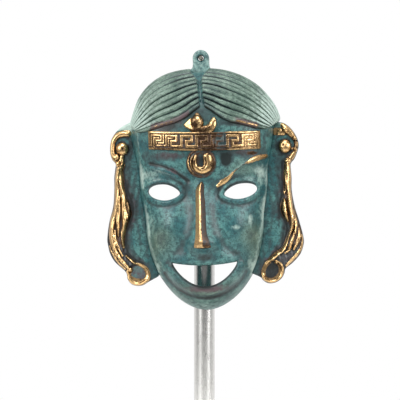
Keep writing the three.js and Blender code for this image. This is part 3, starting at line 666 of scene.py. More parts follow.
def faceShell():
    # a square grid drawn onto a disc, the disc onto the face's outline, closer towards the steep rim
    a, b = np.meshgrid(np.linspace(-1, 1, face["columns"]), np.linspace(-1, 1, face["rows"]))
    x, y = a * np.sqrt(1 - b * b / 2), b * np.sqrt(1 - a * a / 2)
    share, turn = np.clip(np.hypot(x, y), 0, 1), np.arctan2(x, y)
    reach, reachIn = reachOf(turn, 0), reachOf(turn, wall)
    r = reach * np.sin(crowding * share) / math.sin(crowding)
    uv = np.stack([r * np.sin(turn), face["middle"] + r * np.cos(turn)], -1)
    across = np.linspace(-60, 60, 121)
    underHair = np.vstack([np.stack([across, hairlineAt(across) + 2.2], 1), [[60, 95], [-60, 95]]])
    upper, lower = mouthLine(mouth["topSag"], 1), mouthLine(mouth["drop"], mouth["curve"])
    holes = [(eyeOutline(eye), False) for eye in eyes] + [(np.vstack([upper, lower[::-1][1:-1]]), False)]
    uv, quads, tris, _ = cutGrid(uv, holes + [(underHair, False)])
    gap, _ = edgeField(uv, holes)
    u, v = uv[..., 0], uv[..., 1]
    relief, gold, dark, rust = faceRelief(uv)
    w = np.maximum(faceForm(u, v, 0) + relief, floorAt(v)) - rolled(gap, np.where(v < -43, 2.2, 1.2))
    shrink = 1 - (reach - reachIn) / reach * ease(share, 0.78, 1.0)
    uBack, vBack = u * shrink, face["middle"] + (v - face["middle"]) * shrink
    wBack = np.maximum(faceForm(uBack, vBack, wall), floorAt(v))
    wBack = np.minimum(wBack, w - np.where(share < 0.999, 0.8, 0))
    # patina in the hollows of the form, with the painted shade and highlights of faceRelief and the painted
    # highlight patches
    hollow = np.clip((blurred(w, 30) - w) / 1.1, -0.1, 1) + dark - patched(u, v, highlightPatches)
    # painted shade on the inside of the mouth's rim
    lipInsideShade = (v < -43) & (gap < 2.4)
    hollow = np.maximum(hollow, np.where(lipInsideShade, 0.9 * (1 - gap / 2.4), -1))
    lipStain = np.where(v < -46, hill(u, v, 1, -55.6, 11, 2.4), 0)
    paint = {"gold": gold, "hollow": hollow + 0.45 * lipStain,
             "sage": np.clip(patched(u, v, sagePatches), 0, 1),
             "rust": np.maximum(rust, lipStain) + patched(u, v, rustPatches)}
    return shell("face", np.dstack([u, v, w]), np.dstack([uBack, vBack, wBack]), quads, tris, paint)


facePiece = ride(faceShell(), bronze)
print("face made", len(facePiece.data.polygons))

strands = {
    # where the grooves lie from the hairline to the outline, and how deep each one is
    "edges": [0, 0.115, 0.234, 0.36, 0.47, 0.58, 0.67, 0.76, 0.857, 0.93, 1],
    "deep": [1, 0.55, 1, 1, 0.5, 1, 0.55, 1, 0.9, 0.6, 1],
    "relief": 2.1, "wave": 0.012, "sweep": math.radians(77), "columns": 241, "rows": 190,
    "partHalfWidth": 1.3, "partSink": 0.4, "topSink": 0.4, "lugHalfWidth": 5.2, "sunk": 1.6,
    "lowRoll": 1.8, "endRoll": 2.5, "endLength": 55,
}


def crownSpots(out, side, share, inset):
    # straight lines up from the hairline, its right half on both sides, to the outline, fanned by the sweep
    turn = strands["sweep"] * out
    power = 2 / crown["squareness"]
    lowU = hairline["halfWidth"] * out
    u = lerp(lowU, (crown["halfWidth"] - inset) * np.sin(turn) ** power, share) * side
    v = lerp(hairlineAt(lowU), crown["centre"] + (crown["rise"] - inset) * np.cos(turn) ** power, share)
    return u + along(lean, v), v


def crownHair():
    # rows run from the hairline to the outline, columns from side to side; strands stand as rounded ridges,
    # each 1 - depth * (1 - sqrt(1 - cut^2.4)) high, with cut 1 in a groove and 0 on the strand's crest
    s, t = np.meshgrid(np.linspace(-1, 1, strands["columns"]), np.linspace(0, 1, strands["rows"]))
    share = np.sin(crowding * t) / math.sin(crowding)
    out, side = np.abs(s), np.sign(s)
    u, v = crownSpots(out, side, share, 0)
    points = np.dstack([u, v, np.maximum(crownForm(u, v, 0), 0)])
    normal = np.cross(np.gradient(points, axis=1), np.gradient(points, axis=0))
    normal[-1] = normal[-2]
    normal /= np.maximum(np.linalg.norm(normal, axis=2, keepdims=True), 1e-9)
    wavy = share + strands["wave"] * np.sin(7 * out + 3 * share + side) * (1 - share) * share * 4
    phase = np.interp(wavy, strands["edges"], np.arange(len(strands["edges"])))
    cut = np.abs(2 * (phase - np.floor(phase)) - 1)
    depth = np.interp(np.round(phase), np.arange(len(strands["deep"])), strands["deep"])
    profile = 1 - depth * (1 - np.sqrt(np.maximum(1 - cut ** 2.4, 0)))
    fine = np.abs(np.sin(2.5 * np.pi * phase + 1.6 * np.sin(2.5 * s + phase))) ** 0.8
    fromPart = np.abs(u - along(lean, v))
    partHalf = lerp(strands["partHalfWidth"], strands["lugHalfWidth"], ease(v, 62.5, 70.5))
    fade = ease(fromPart, partHalf - 0.9, partHalf + 0.5)    # 0 in the parting and under the lug
    toLow = share * np.hypot(u[-1:] - u[:1], v[-1:] - v[:1])
    toEnd = (1 - out) * strands["endLength"]
    relief = (strands["relief"] * lerp(1, 0.75, out) * (fade * (profile + 0.1 * fine) - 1)
              - strands["partSink"] * (1 - fade) - strands["topSink"] * (1 - out)
              - rolled(toLow, strands["lowRoll"]) - rolled(toEnd, strands["endRoll"]))
    top = points + normal * relief[..., None]
    top[..., 2] = np.maximum(top[..., 2], 0)
    top[-1, :, 2] = 0
    inset = wall + strands["sunk"]
    uIn, vIn = crownSpots(out, side, share, inset)
    deep = np.maximum(crownForm(uIn, vIn, inset), 0)
    tuck = np.minimum(deep, faceForm(uIn, vIn, 0) - 1.5)
    wIn = np.maximum(lerp(tuck, deep, ease(toLow, 2.0, 4.0)), 0)
    bottom = np.dstack([uIn, vIn, np.minimum(wIn, np.maximum(top[..., 2] - 0.8, 0))])
    # painted shade with patina in the grooves, broad by the parting and thin at the sides, between crests
    # with painted highlights that grow paler outward as painted reflection; painted shade along the lowest
    # edge and beside the lug, and a little paler towards the outline
    groove = depth * cut ** lerp(1.5, 3.2, ease(out, 0.15, 0.7)) * fade
    hollow = (lerp(1.2, 0.5, ease(out, 0.08, 0.6)) * groove + 0.35 * depth * cut ** 8 * fade
              + 0.2 * (1 - fine) * fade + 0.35 * (1 - fade) * (1 - ease(v, 64, 68))
              - 0.25 * lerp(0.1, 1, ease(out, 0.1, 0.45)) * (1 - groove) * fade
              - 0.75 * ease(out, 0.5, 1) * (1 - groove) - 0.15 * share
              + 0.5 * (1 - ease(toLow, 1.0, 3.0)) + 0.5 * hill(u, v, 1, 71.5, 2.5, 3))
    # bare metal and mauve stain along the edge over the forehead
    leftEnd, right = 1 - ease(-u, 27, 30), ease(u, 17, 22) * (1 - ease(u, 31, 35))
    lowBand = 1 - ease(np.abs(toLow - 1.4), 0.3, 0.8)
    gold = lowBand * (0.38 * ease(-u, 9, 14) * leftEnd + 0.52 * right)
    rust = 0.7 * (1 - ease(toLow, 2.2, 4.6)) * (ease(-u, 4, 7) * leftEnd + right)
    return shell("crownHair", top, bottom, gridFaces(*s.shape), np.zeros((0, 3), int),
                 {"gold": gold, "hollow": hollow, "sage": fade, "rust": rust})


crownPiece = ride(crownHair(), bronze)
print("crown hair made", len(crownPiece.data.polygons))

# heights of the parts of the side hair over the back plane, and the reach of the round ones
sideLevels = {"channel": 8.6, "lock": 3.0, "curl": 8.2, "curlReach": 6.8, "curlInside": 5.0, "rosette": 9.4,
              "rosetteReach": (7.2, 10.8), "ball": (9.4, 3.8), "bead": (10.2, 2.2), "knob": (9.0, 3.2),
              "seamAt": 7.0, "seamGap": 1.3, "tuck": 1.6, "back": 5.6, "flange": 2.6}
# a strand or cord: its path, half widths spread along it, its rise, how bare its metal is, how brown
sideHair = {
    "left": {
        "outer": [(-39.5, 41.0), (-43.6, 38.8), (-48.0, 36.2), (-51.9, 31.4), (-53.2, 26.8), (-53.3, 22.2),
                  (-52.2, 18.6), (-50.4, 16.2), (-50.9, 12), (-51.4, 8.2), (-51.6, 1.3), (-52.4, -7.9),
                  (-54.9, -17.1), (-56.3, -26.3), (-55.9, -31), (-54.8, -35.6), (-52.1, -40.3), (-47, -45.1),
                  (-45.5, -47.4), (-45.1, -50.2), (-43.2, -53), (-40, -54.2), (-36.6, -54), (-33.6, -52.3),
                  (-28, -49.4)],
        "lockInner": [(-46.5, 20), (-45.2, 15.6), (-45.9, 12.0), (-45.6, 7.6), (-44.6, 3.2), (-42.9, -2.7),
                      (-41.4, -7), (-41.2, -12), (-43.0, -17.9), (-45.0, -22.8), (-45.6, -29.4), (-44.8, -35),
                      (-41, -39.0), (-36.4, -41.3)],
        "strands": [
            ([(-48.9, 14.6), (-49.7, 9.2), (-50.1, 3.3), (-50.5, -4.5), (-51.7, -11.1), (-53.0, -17.6),
              (-53.7, -22.5), (-53.1, -27.5), (-51.9, -32.5), (-50.1, -36.2), (-47.2, -40.2), (-44.6, -43.2)],
             [1.3, 1.7, 1.8, 1.9, 1.9, 1.6, 1.3, 1.1], 1.5, 1.0, 0),
            ([(-54.8, -30.8), (-54.1, -33.8), (-52.2, -36.8), (-49.6, -41.1), (-46.4, -44.2)],
             [0.5, 0.9, 0.8], 0.9, 0.85, 0),
            ([(-45.8, 15.4), (-47.0, 12.6), (-47.2, 9.1), (-46.8, 3.2), (-46.0, -4.6), (-45.7, -11.2),
              (-45.2, -17.2), (-46.5, -22.7), (-46.8, -27.6), (-46.5, -31.9)],
             [1.3, 1.8, 1.7, 1.7, 1.9, 1.4, 0.6], 1.5, 1.0, 0),
            ([(-48.2, -2.6), (-48.8, -11.1), (-49.6, -17.7), (-49.4, -25.0)], [0.5, 1.1, 1.2, 0.5],
             1.1, 0.85, 0),
            ([(-44.0, -5.0), (-43.1, -9.6), (-42.7, -12.9), (-43.8, -17.0)], [0.6, 1.2, 1.4, 0.6],
             1.3, 0.9, 0.55),
            ([(-51.4, -22), (-51.2, -27), (-49.6, -32.3), (-47.3, -36.8)], [0.5, 0.8, 0.8, 0.5],
             0.8, 0.75, 0),
            ([(-45.2, -36.6), (-42.6, -39.0), (-40.1, -41.1), (-37.4, -42.1), (-34.5, -44.2), (-33.2, -47.2),
              (-33.8, -50.2), (-36.0, -52.0), (-39.4, -52.1), (-42.3, -51.0), (-44.3, -49.2), (-44.6, -46.9),
              (-43.4, -44.9)],
             [0.6, 0.8, 1.0, 1.3, 1.6, 2.0, 2.4, 2.5, 2.1, 1.7], 2.2, 1.0, 0),
            ([(-40.9, -22), (-40.5, -26.3), (-39.4, -32.9), (-36.8, -36.6), (-33.5, -40)], [0.9, 1.4, 1.2],
             1.0, 0.0, 0),
            # the rosette's petals
            ([(-42.4, 33.4), (-45.7, 33.3), (-48.7, 32.3), (-50.8, 29.9), (-51.7, 27.4), (-51.9, 24.8),
              (-51.7, 22.0), (-51.0, 18.8), (-49.4, 16.9)], [2.0, 2.1, 1.9, 1.7, 1.7, 1.9, 2.1], 2.4, 1.0, 0),
            ([(-46.3, 21.6), (-46.7, 18.8), (-47.0, 16.7), (-48.6, 15.9)], [1.3, 1.7, 1.7], 2.2, 1.0, 0),
        ],
        "knob": (-43.4, -44.6, 1.7, 1.7), "curlMiddle": (-39.0, -47.2), "curlTone": 0.1, "topSheen": 0.9,
        "flower": (-46.6, 25.3), "ball": (-46.2, 24.7, 3.9, 4.1), "dimple": (-45.6, 24.6),
        "bead": (-49.6, 19.9, 2.0, 2.0),
        "arch": [(-50.1, 26.3), (-49.9, 28.3), (-49.1, 29.4), (-47.1, 30.2), (-44.7, 29.9), (-43.0, 28.1)],
    },
    "right": {
        "outer": [(40, 37.6), (44, 37.6), (47.5, 36.6), (51.2, 33.3), (54, 28.6), (55, 23.9), (53.7, 19.4),
                  (52.3, 16.5), (50.5, 14.3), (50.1, 12.5), (50.5, 5.6), (50.4, -1.4), (51.8, -10.7),
                  (54.4, -20), (56.5, -29.3), (56, -34), (54, -38.5), (49.8, -43), (45.8, -46.1), (45, -48.6),
                  (43.4, -51.6), (39.9, -54), (35.8, -54.4), (32.8, -52.8), (31.2, -50.8), (26.3, -48.5)],
        "lockInner": [(47.4, 20), (45.7, 15), (45.6, 8), (45.5, 0.5), (44.6, -5.5), (43.4, -11),
                      (44.3, -15.5), (46.9, -19.5), (47.4, -24), (45.6, -31), (43, -35), (39.3, -37.6),
                      (34.4, -42)],
        "strands": [
            ([(49.0, 15.0), (49.4, 6.6), (49.4, 0.7), (49.3, -7.1), (49.5, -12.1), (50.3, -18.7),
              (49.9, -23.0), (48.5, -25.9), (47.0, -29.5), (45.3, -33.9), (43.2, -36.0), (40.4, -38.0),
              (36.5, -41.7), (34.1, -44.6), (33.0, -47.9), (33.6, -51.2), (36.2, -52.7), (39.5, -52.2),
              (42.4, -49.8), (43.3, -46.8), (42.5, -43.9), (40.4, -42.1)],
             [1.5, 1.8, 1.8, 1.8, 1.6, 1.1, 0.9, 0.9, 1.2, 1.5, 1.5, 1.4, 1.6, 1.8, 1.8, 1.3], 1.9, 1.0, 0),
            ([(51.4, -8.4), (51.8, -16.4), (52.2, -20.4), (51.8, -26.0)], [0.6, 1.1, 1.1, 0.5], 1.1, 0.85, 0),
            ([(51.2, -25), (50.0, -30), (47.8, -34.5)], [0.6, 0.9, 0.6], 0.9, 0.8, 0),
            ([(54.2, -16.4), (54.7, -21.4), (54.3, -27.0), (52.6, -31.9), (50.6, -35.2)],
             [0.7, 1.2, 1.1, 0.7], 1.1, 0.85, 0.3),
            ([(55.6, -27.1), (56.0, -31.4), (54.8, -35.3), (51.7, -39.2), (48.7, -42.1), (46.3, -44.6)],
             [0.6, 1.1, 1.2, 1.2, 0.9], 1.3, 0.9, 0),
            ([(49.5, -32.2), (48.2, -35.1), (45.8, -37.3)], [0.5, 0.8, 0.5], 0.9, 0.8, 0),
            ([(47.2, 13.4), (46.7, 6.6), (46.7, 0.8), (45.9, -3.0)], [0.9, 1.2, 1.2, 0.7], 1.2, 0.85, 0.25),
            ([(45.6, -6.6), (45.3, -10.6), (45.9, -14.6), (47.6, -19.0)], [0.9, 2.1, 2.0, 0.7],
             1.9, 1.0, 0.35),
            ([(41.4, -20), (41.0, -28), (38.4, -34.2), (34.5, -40)], [0.9, 1.4, 1.2], 1.0, 0.0, 0),
            # the rosette's petals
            ([(46.6, 35.6), (48.3, 33.6), (50.6, 31.3), (53.0, 28.4)], [1.9, 2.2, 2.2, 1.8], 2.4, 1.0, 0),
            ([(42.4, 32.2), (46.3, 32.0)], [2.4, 2.4], 1.6, 0.95, 0),
            ([(53.4, 28.0), (53.9, 25.0), (53.4, 21.8)], [1.9, 1.7, 1.6], 1.9, 0.95, 0.5),
            ([(49.8, 21.9), (52.1, 22.2), (54.0, 21.2)], [0.7, 0.8, 0.7], 1.2, 0.9, 0),
            ([(53.0, 20.2), (51.4, 18.3), (49.6, 15.9)], [1.6, 1.8, 1.7], 1.9, 1.0, 0),
        ],
        "knob": (40.6, -42.4, 1.3, 1.3), "curlMiddle": (38.1, -47.5), "curlTone": 0.9, "topSheen": 0.2,
        "flower": (48.4, 24.8), "ball": (47.2, 23.7, 3.8, 4.2), "dimple": (46.2, 24.6),
        "bead": (48.6, 15.2, 2.0, 2.0),
        "arch": [(43.4, 27.4), (45.2, 28.8), (48.0, 29.2), (50.6, 27.6), (51.3, 24.4)],
    },
}


def sideHairPiece(side, form):
    # a channel beside the face, a lock of strands outside it, a curl below and a rosette on top
    sign = -1 if side == "left" else 1
    level = sideLevels
    v = np.linspace(-46.5, 36, 60)
    # the seam lies just under the face's side, and further in under the crown
    seam = faceSide(v, level["seamAt"]) - level["seamGap"] - level["tuck"] * ease(v, 32, 34.5)
    seam = np.stack([sign * seam, v], 1)
    outer = curveThrough(form["outer"], 0.6)
    lock = np.vstack([curveThrough(form["lockInner"]), curveThrough(form["outer"][6:-1], 0.6)[::-1]])

    def height(u, v, gap):
        uv = np.stack([u, v], -1)
        hairs = np.sin((np.abs(u) - 36 + 1.6 * np.sin(v / 7) + 0.05 * v) * 1.7)
        hairs = hairs * ease(-v, -18, -8) * ease(v, -46, -38)
        inLock, _ = edgeField(uv, [(lock, True)])
        w = level["channel"] + 0.3 * hairs + level["lock"] * ease(inLock, -0.4, 2.6)
        # darker towards the lock and darkest along its edge: painted shade beside the lock
        dark = lerp(0.3, 0.7, ease(inLock, -6, -1)) + 0.16 * hairs - 0.3 * ease(v, 24, 34)
        dark = np.maximum(dark, 1.1 * bell(inLock + 0.4, 1.0))
        gold = 0.42 * ease(inLock, 0.6, 1.4) * ease(v, -38, -30)
        curl = np.hypot(u - form["curlMiddle"][0], v - form["curlMiddle"][1])
        onCurl = lerp(w, level["curl"], ease(level["curlReach"] - curl, 0, 2.0))
        w = np.where(curl < level["curlReach"], onCurl, w)
        inCurl = ease(level["curlInside"] - curl, 0, 1.2)
        dark = np.where(curl < level["curlInside"], lerp(dark, form["curlTone"], inCurl), dark)
        reachU, reachV = level["rosetteReach"]
        ring = np.hypot((u - form["flower"][0]) / reachU, (v - form["flower"][1]) / reachV)
        w = np.where(ring < 1.05, lerp(level["rosette"], w, ease(ring, 0.85, 1.05)), w)
        dark = np.where(ring < 1.0, lerp(0.75, dark, ease(ring, 0.9, 1.0)), dark)
        arch, _ = nearLine(uv, curveThrough(form["arch"]))
        # the top painted paler by topSheen: a painted sheen
        dark = np.where(arch < 1.0, 0.25, dark) - form["topSheen"] * ease(v, 33.5, 35.5)
        for path, halfWidth, rise, bare, brown in form["strands"]:
            lift, paint = ridge(uv, path, halfWidth, rise)
            w = w + lift
            gold = np.maximum(gold, bare * paint)
            dark = dark * (1 - paint) + brown * paint
        for dome in ("ball", "bead", "knob"):
            (atU, atV, halfU, halfV), (floor, rise) = form[dome], level[dome]
            out = np.hypot((u - atU) / halfU, (v - atV) / halfV)
            w = np.maximum(w, floor + rise * np.sqrt(np.clip(1 - out ** 2, 0, 1)))
            inside = ease(1.02 - out, 0, 0.15)
            gold = np.maximum(gold, inside)
            dark = dark * (1 - inside) + 0.2 * inside * ease(out, 0.5, 0.9)
        pit = hill(u, v, *form["dimple"], 0.8, 0.9)
        w, dark = w - 0.5 * pit, dark + 0.5 * pit
        hollow = np.clip((blurred(w, 10) - w) / 0.7, -0.3, 1)
        return w, {"gold": gold * ease(gap, 0, 0.6),    # none on the outer wall
                   "hollow": np.clip(hollow + dark, -0.9, 1.3), "sage": 0.6 * ease(v, 28, 36),
                   "rust": 0.5 * ease(inLock, -5, 0) * (1 - ease(v, 5, 20))}

    def under(u, v, gap):
        whole = np.vstack([outer, [[sign * 20, -49], [sign * 20, 37.6]]])
        inside, _ = edgeField(np.stack([u, v], -1), [(whole, True)])
        return np.where(inside > level["flange"], level["back"], 0.0) * ease(inside, 2.2, 3.2)

    return reliefPiece(side + "Hair", np.vstack([outer, seam]), 0.3, height, under, roll=1.6)


for side, form in sideHair.items():
    piece = ride(sideHairPiece(side, form), bronze)
    print(side, "hair made", len(piece.data.polygons))

band = {"left": -29.8, "right": 33.8, "low": 21.7, "high": 32.0, "lift": 1.6, "border": 1.1, "bow": 1.05,
        "slope": -0.026, "sunk": 1.2, "edgeRoll": 0.5, "cutDepth": 0.35, "cutReach": 0.2, "rows": 44}
key = {"module": 1.43, "start": -36.9, "repeats": 8, "lift": 0.55, "perModule": 5}
# along the band: bare metal and brown on its ground and on the key, wear of the key, cut lines beside it
bandTone = {
    "at": [-30, -16, -13, -4, 0, 8, 11, 13.5, 16.5, 23, 25, 34],
    "groundGold": [0.8, 0.75, 0.4, 0.4, 0.5, 0.5, 0.15, 0.1, 0.45, 0.5, 0.75, 0.75],
    "groundDark": [0.1, 0.15, 0.6, 0.65, 0.6, 0.65, 0.8, 0.9, 0.5, 0.4, 0.15, 0.15],
    "keyGold": [0.85, 0.85, 1, 1, 0.7, 0.6, 0.4, 0.4, 0.9, 1, 0.8, 0.8],
    "keyDark": [0.05, 0.05, 0, 0.05, 0.4, 0.45, 0.5, 0.5, 0.1, 0.0, 0.1, 0.15],
    "wear": [0.85, 0.8, 0, 0, 0.25, 0.3, 0.4, 0.3, 0, 0.1, 0.9, 1],
    "cut": [0.95, 0.9, 0.2, 0.1, 0.2, 0.2, 0.1, 0, 0.1, 0.2, 0.4, 0.35],
}


def keyOutline():
    # the path of a running key in modules, thickened to a line one module wide
    upper = [(0, 5), (5, 5), (5, 2), (3, 2), (3, 1), (6, 1)]
    lower = [(1, 0), (1, 4), (4, 4), (4, 3), (2, 3), (2, 0)]
    top = [(6 * i + a, b) for i in range(key["repeats"]) for a, b in upper]
    bottom = [(6 * i + a, b) for i in range(key["repeats"]) for a, b in lower]
    return np.array([(0, 0)] + top + [(6 * key["repeats"], 0)] + bottom[::-1], float)


def headband():
    # a strip that follows the forehead; borders and key are raised by smooth steps of their distance
    tall = band["high"] - band["low"]
    u, across = np.meshgrid(np.arange(band["left"], band["right"], key["module"] / key["perModule"]),
                            np.linspace(0, tall, band["rows"]))
    v = band["low"] + across + (band["bow"] * (u / 30) ** 2 + band["slope"] * u)
    modules = np.stack([(u - key["start"]) / key["module"], (across - tall / 2) / key["module"] + 2.5], -1)
    inKey = edgeField(modules, [(keyOutline(), True)])[0] * key["module"]
    edge = np.minimum(across, tall - across)
    toEnd = np.minimum(u - band["left"], band["right"] - u)
    tone = {name: np.interp(u, bandTone["at"], values) for name, values in bandTone.items() if name != "at"}
    inBorder = ease(edge, band["border"] - 0.15, band["border"] + 0.15)
    raised = ease(inKey, -0.12, 0.22)
    pattern = np.maximum(raised * (1 - tone["wear"]), 1 - inBorder)
    cutLine = tone["cut"] * bell(inKey, band["cutReach"]) * inBorder
    lift = (band["lift"] * ease(toEnd, -0.3, 1.2) + key["lift"] * pattern - band["cutDepth"] * cutLine
            - rolled(np.minimum(edge, toEnd), band["edgeRoll"]))
    surface = faceForm(u, v, 0)
    onKey = np.maximum(raised, 1 - inBorder)
    mottled = 0.4 * hill(u, v, -20, 23.5, 8, 2.2)
    gold = lerp(tone["groundGold"], tone["keyGold"], onKey) * ease(toEnd, -0.2, 0.8)
    gold = gold * (1 - 0.6 * cutLine) - 0.6 * mottled
    hollow = lerp(tone["groundDark"], tone["keyDark"], onKey) + cutLine + mottled
    return shell("headband", np.dstack([u, v, surface + lift]), np.dstack([u, v, surface - band["sunk"]]),
                 gridFaces(*u.shape), np.zeros((0, 3), int),
                 {"gold": gold, "hollow": hollow, "rust": mottled * 2})


ride(headband(), bronze)
print("headband made")

boss = {"u": 0.2, "v": 14.9, "radius": 8.5, "lift": 1.2, "arcs": [5.7, 7.3],
        "arcHalfWidth": 0.55, "arcRise": 0.7,
        "shoe": [(-2.6, 18.6), (-3.3, 15.4), (-2.6, 12.4), (0.6, 10.7), (3.6, 12.2), (4.3, 15.0),
                 (3.8, 18.0)],
        "shoeHalfWidth": [1.0, 1.3, 1.6, 2.1, 2.6, 3.0, 2.6], "shoeRise": 2.0,
        "vein": [(2.6, 17.8), (3.1, 14.4), (1.9, 12.2), (0.2, 11.5)],
        "brown": [(-3.4, 15.4, 1.0, 1.4, 0.7), (6.0, 13.6, 1.0, 2.2, 0.6), (4.6, 19.4, 1.4, 0.8, 0.6),
                  (-1.4, 11.2, 1.0, 1.0, 0.35)]}
bud = {"u": -1.3, "v": 37.6, "halfWidth": 3.7, "halfHeight": 4.2, "rise": 3.2,
       "petal": [(-9.0, 36.4), (-7.0, 38.4), (-4.7, 40.2), (-4.2, 37.0), (-3.2, 33.0), (-5.7, 33.7),
                 (-8.0, 35.0)],
       "cup": [(-5.9, 34.3), (-2.1, 33.4), (2.0, 33.2), (5.0, 33.7), (6.9, 35.3), (7.7, 37.6), (8.3, 40.2)],
       "cupHalfWidth": [1.0, 1.9, 2.2, 2.5, 2.6, 2.1, 0.8]}


def sunkInFace(depth):
    # the back of a piece set into the face
    return lambda u, v, gap: faceForm(u, v, 0) - depth


def bossPiece():
    # a disc with two raised arcs, each sqrt(1 - (distance / half width)^2), and a horseshoe ridge with a vein
    # cut into it
    def height(u, v, gap):
        uv = np.stack([u, v], -1)
        du, dv = u - boss["u"], v - boss["v"]
        r, angle = np.hypot(du, dv), np.arctan2(du, dv)
        arcs = sum(np.sqrt(np.clip(1 - ((r - at) / boss["arcHalfWidth"]) ** 2, 0, 1)) for at in boss["arcs"])
        arcs = arcs * np.maximum(hill(angle, 0, -1.7, 0, 0.9, 1),
                                 0.5 * hill(angle, 0, 1.7, 0, 0.8, 1) * (r > 6))
        rise, paint = ridge(uv, boss["shoe"], boss["shoeHalfWidth"], boss["shoeRise"])
        far, _ = nearLine(uv, curveThrough(boss["vein"]))
        vein = bell(far, 0.4)
        w = faceForm(u, v, 0) + boss["lift"] + boss["arcRise"] * arcs + rise - 0.5 * vein
        centre = hill(u, v, 0.9, 16.6, 1.7, 3.0)
        gold = np.clip(0.36 * (1 - centre) + 0.55 * arcs + paint, 0, 1)
        dark = 0.75 * vein + 0.8 * (1 - paint) * (1 - 0.9 * np.clip(arcs, 0, 1)) + 0.3 * centre - 0.1
        return w, {"gold": gold, "hollow": dark + patched(u, v, boss["brown"]), "rust": 0.3 * (1 - paint)}

    outline = oval(boss["u"], boss["v"], boss["radius"], boss["radius"], 90)
    return reliefPiece("boss", outline, 0.2, height, sunkInFace(1.2), roll=1.1)


def budPiece():
    # a dome, rise * sqrt(1.02 - r^2), with a dimple; its outline is an oval pointed at the top by 0.32 cos^8
    def height(u, v, gap):
        r = np.hypot((u - bud["u"]) / bud["halfWidth"], (v - bud["v"]) / bud["halfHeight"])
        dimple = hill(u, v, bud["u"] - 1.0, bud["v"] - 1.6, 1.1, 1.6)
        budHighlight = hill(u, v, bud["u"] + 0.9, bud["v"] + 0.6, 0.9, 3.2)
        w = faceForm(u, v, 0) + 0.8 + bud["rise"] * np.sqrt(np.clip(1.02 - r ** 2, 0, 1)) - 0.8 * dimple
        # a painted highlight right of the middle and painted shade in the dimple
        return w, {"gold": 0.8 + 0.2 * budHighlight, "hollow": np.clip(0.32 + 0.45 * dimple - 0.5 * budHighlight, 0, 1)}

    pointed = 1 + 0.32 * np.maximum(np.cos(fullTurn(80)), 0) ** 8
    outline = oval(bud["u"], bud["v"], bud["halfWidth"], bud["halfHeight"] * pointed, 80)
    return reliefPiece("bud", outline, 0.2, height, sunkInFace(1.2), roll=0.7)


def petalPiece():
    # a leaf that tilts up towards the bud, a quarter of a millimetre for each one across
    def height(u, v, gap):
        w = faceForm(u, v, 0) + 1.5 + 0.25 * (u + 6)
        return w, {"gold": 0.95 + 0 * u, "hollow": 0.3 * ease(u, -5.4, -3.8)}

    outline = curveThrough(bud["petal"], 0.3, closed=True)
    return reliefPiece("budPetal", outline, 0.2, height, sunkInFace(1.0), roll=0.8)


def cupPiece():
    # a cord laid on the face under the bud, swelling to the right and running out at both ends
    p = np.array(bud["cup"], float)
    path = np.column_stack([p, faceForm(p[:, 0], p[:, 1], 0) + 0.9])
    paint = {"gold": [0.8, 0.8, 0.75, 0.9, 1.0, 0.95], "hollow": [0.4, 0.5, 0.5, 0.3, 0.05, 0.1]}
    return cord("budCup", path, bud["cupHalfWidth"], 1.7, paint)


for make in (bossPiece, budPiece, petalPiece, cupPiece):
    ride(make(), bronze)
print("boss and bud made")

noseBar = {"middle": [[4.6, 0.4], [2.0, -0.3], [-1, -0.7], [-12, -0.65], [-24, -0.55], [-28, -0.2],
                      [-33, 0.05]],
           "halfWidth": [[4.6, 1.8], [2.0, 2.2], [-1, 2.6], [-12, 2.85], [-24, 3.15], [-27.5, 3.75],
                         [-31, 4.6], [-33, 4.8]],
           "lift": 2.1, "sunk": 0.8, "top": 4.6, "tip": -33.0, "crest": -0.12, "rows": 170, "over": 25,
           "under": 13}


def noseBarPiece():
    # sections of a low roof, 1 - |x - crest|^1.2, over a shallow belly sunk in the nose, laid along its ridge
    # and closed at both ends
    v = np.linspace(noseBar["top"], noseBar["tip"], noseBar["rows"])
    x = np.concatenate([np.linspace(-1, 1, noseBar["over"]), np.linspace(1, -1, noseBar["under"])[1:-1]])
    crest = noseBar["crest"]
    side = np.where(x < crest, (crest - x) / (1 + crest), (x - crest) / (1 - crest))
    tall = np.where(np.arange(len(x)) < noseBar["over"], 1 - side ** 1.2, -0.35 * (1 - x ** 2))
    toTop, toTip = noseBar["top"] - v, v - noseBar["tip"]
    close = (np.sqrt(np.clip(1 - (1 - np.clip(toTop / 2.5, 0, 1)) ** 2, 0.01, 1))
             * np.sqrt(np.clip(1 - (1 - np.clip(toTip / 0.8, 0, 1)) ** 2, 0.2, 1)))[:, None]
    u = along(noseBar["middle"], v)[:, None] + along(noseBar["halfWidth"], v)[:, None] * close * x
    w = faceForm(0 * v, v, 0)[:, None] - noseBar["sunk"] + (noseBar["lift"] + noseBar["sunk"]) * close * tall
    rings = np.dstack([u, np.broadcast_to(v[:, None], u.shape), w])
    # bright on the left of its crest; brown on the flank to the right, partly tarnish and partly painted
    # shade;
    # brown on both sides near the top
    high, tip = ease(v, 0, 6)[:, None], ease(-v, 30.5, 32)[:, None]
    offCrest = ease(np.abs(x - crest), 0.1, 0.4)
    brownShadedFlank = ease(x, crest + 0.08, crest + 0.34) * (1 - 0.7 * tip)
    gold = (1 - 0.5 * ease(np.abs(x), 0.8, 1.0)) * (1 - 0.35 * high * offCrest) * (1 - 0.64 * brownShadedFlank)
    return loftRings("noseBar", rings, {"gold": gold, "hollow": brownShadedFlank + 0.7 * high * offCrest + 0.15 * tip})


ride(noseBarPiece(), bronze)
print("nose bar made")

lug = {"halfWidth": 4.7, "holeRadius": 1.6, "depth": 4.0,
       "side": [(4.7, 75), (4.7, 72.5), (5.4, 70.2), (8.5, 68.6), (9, 63)]}


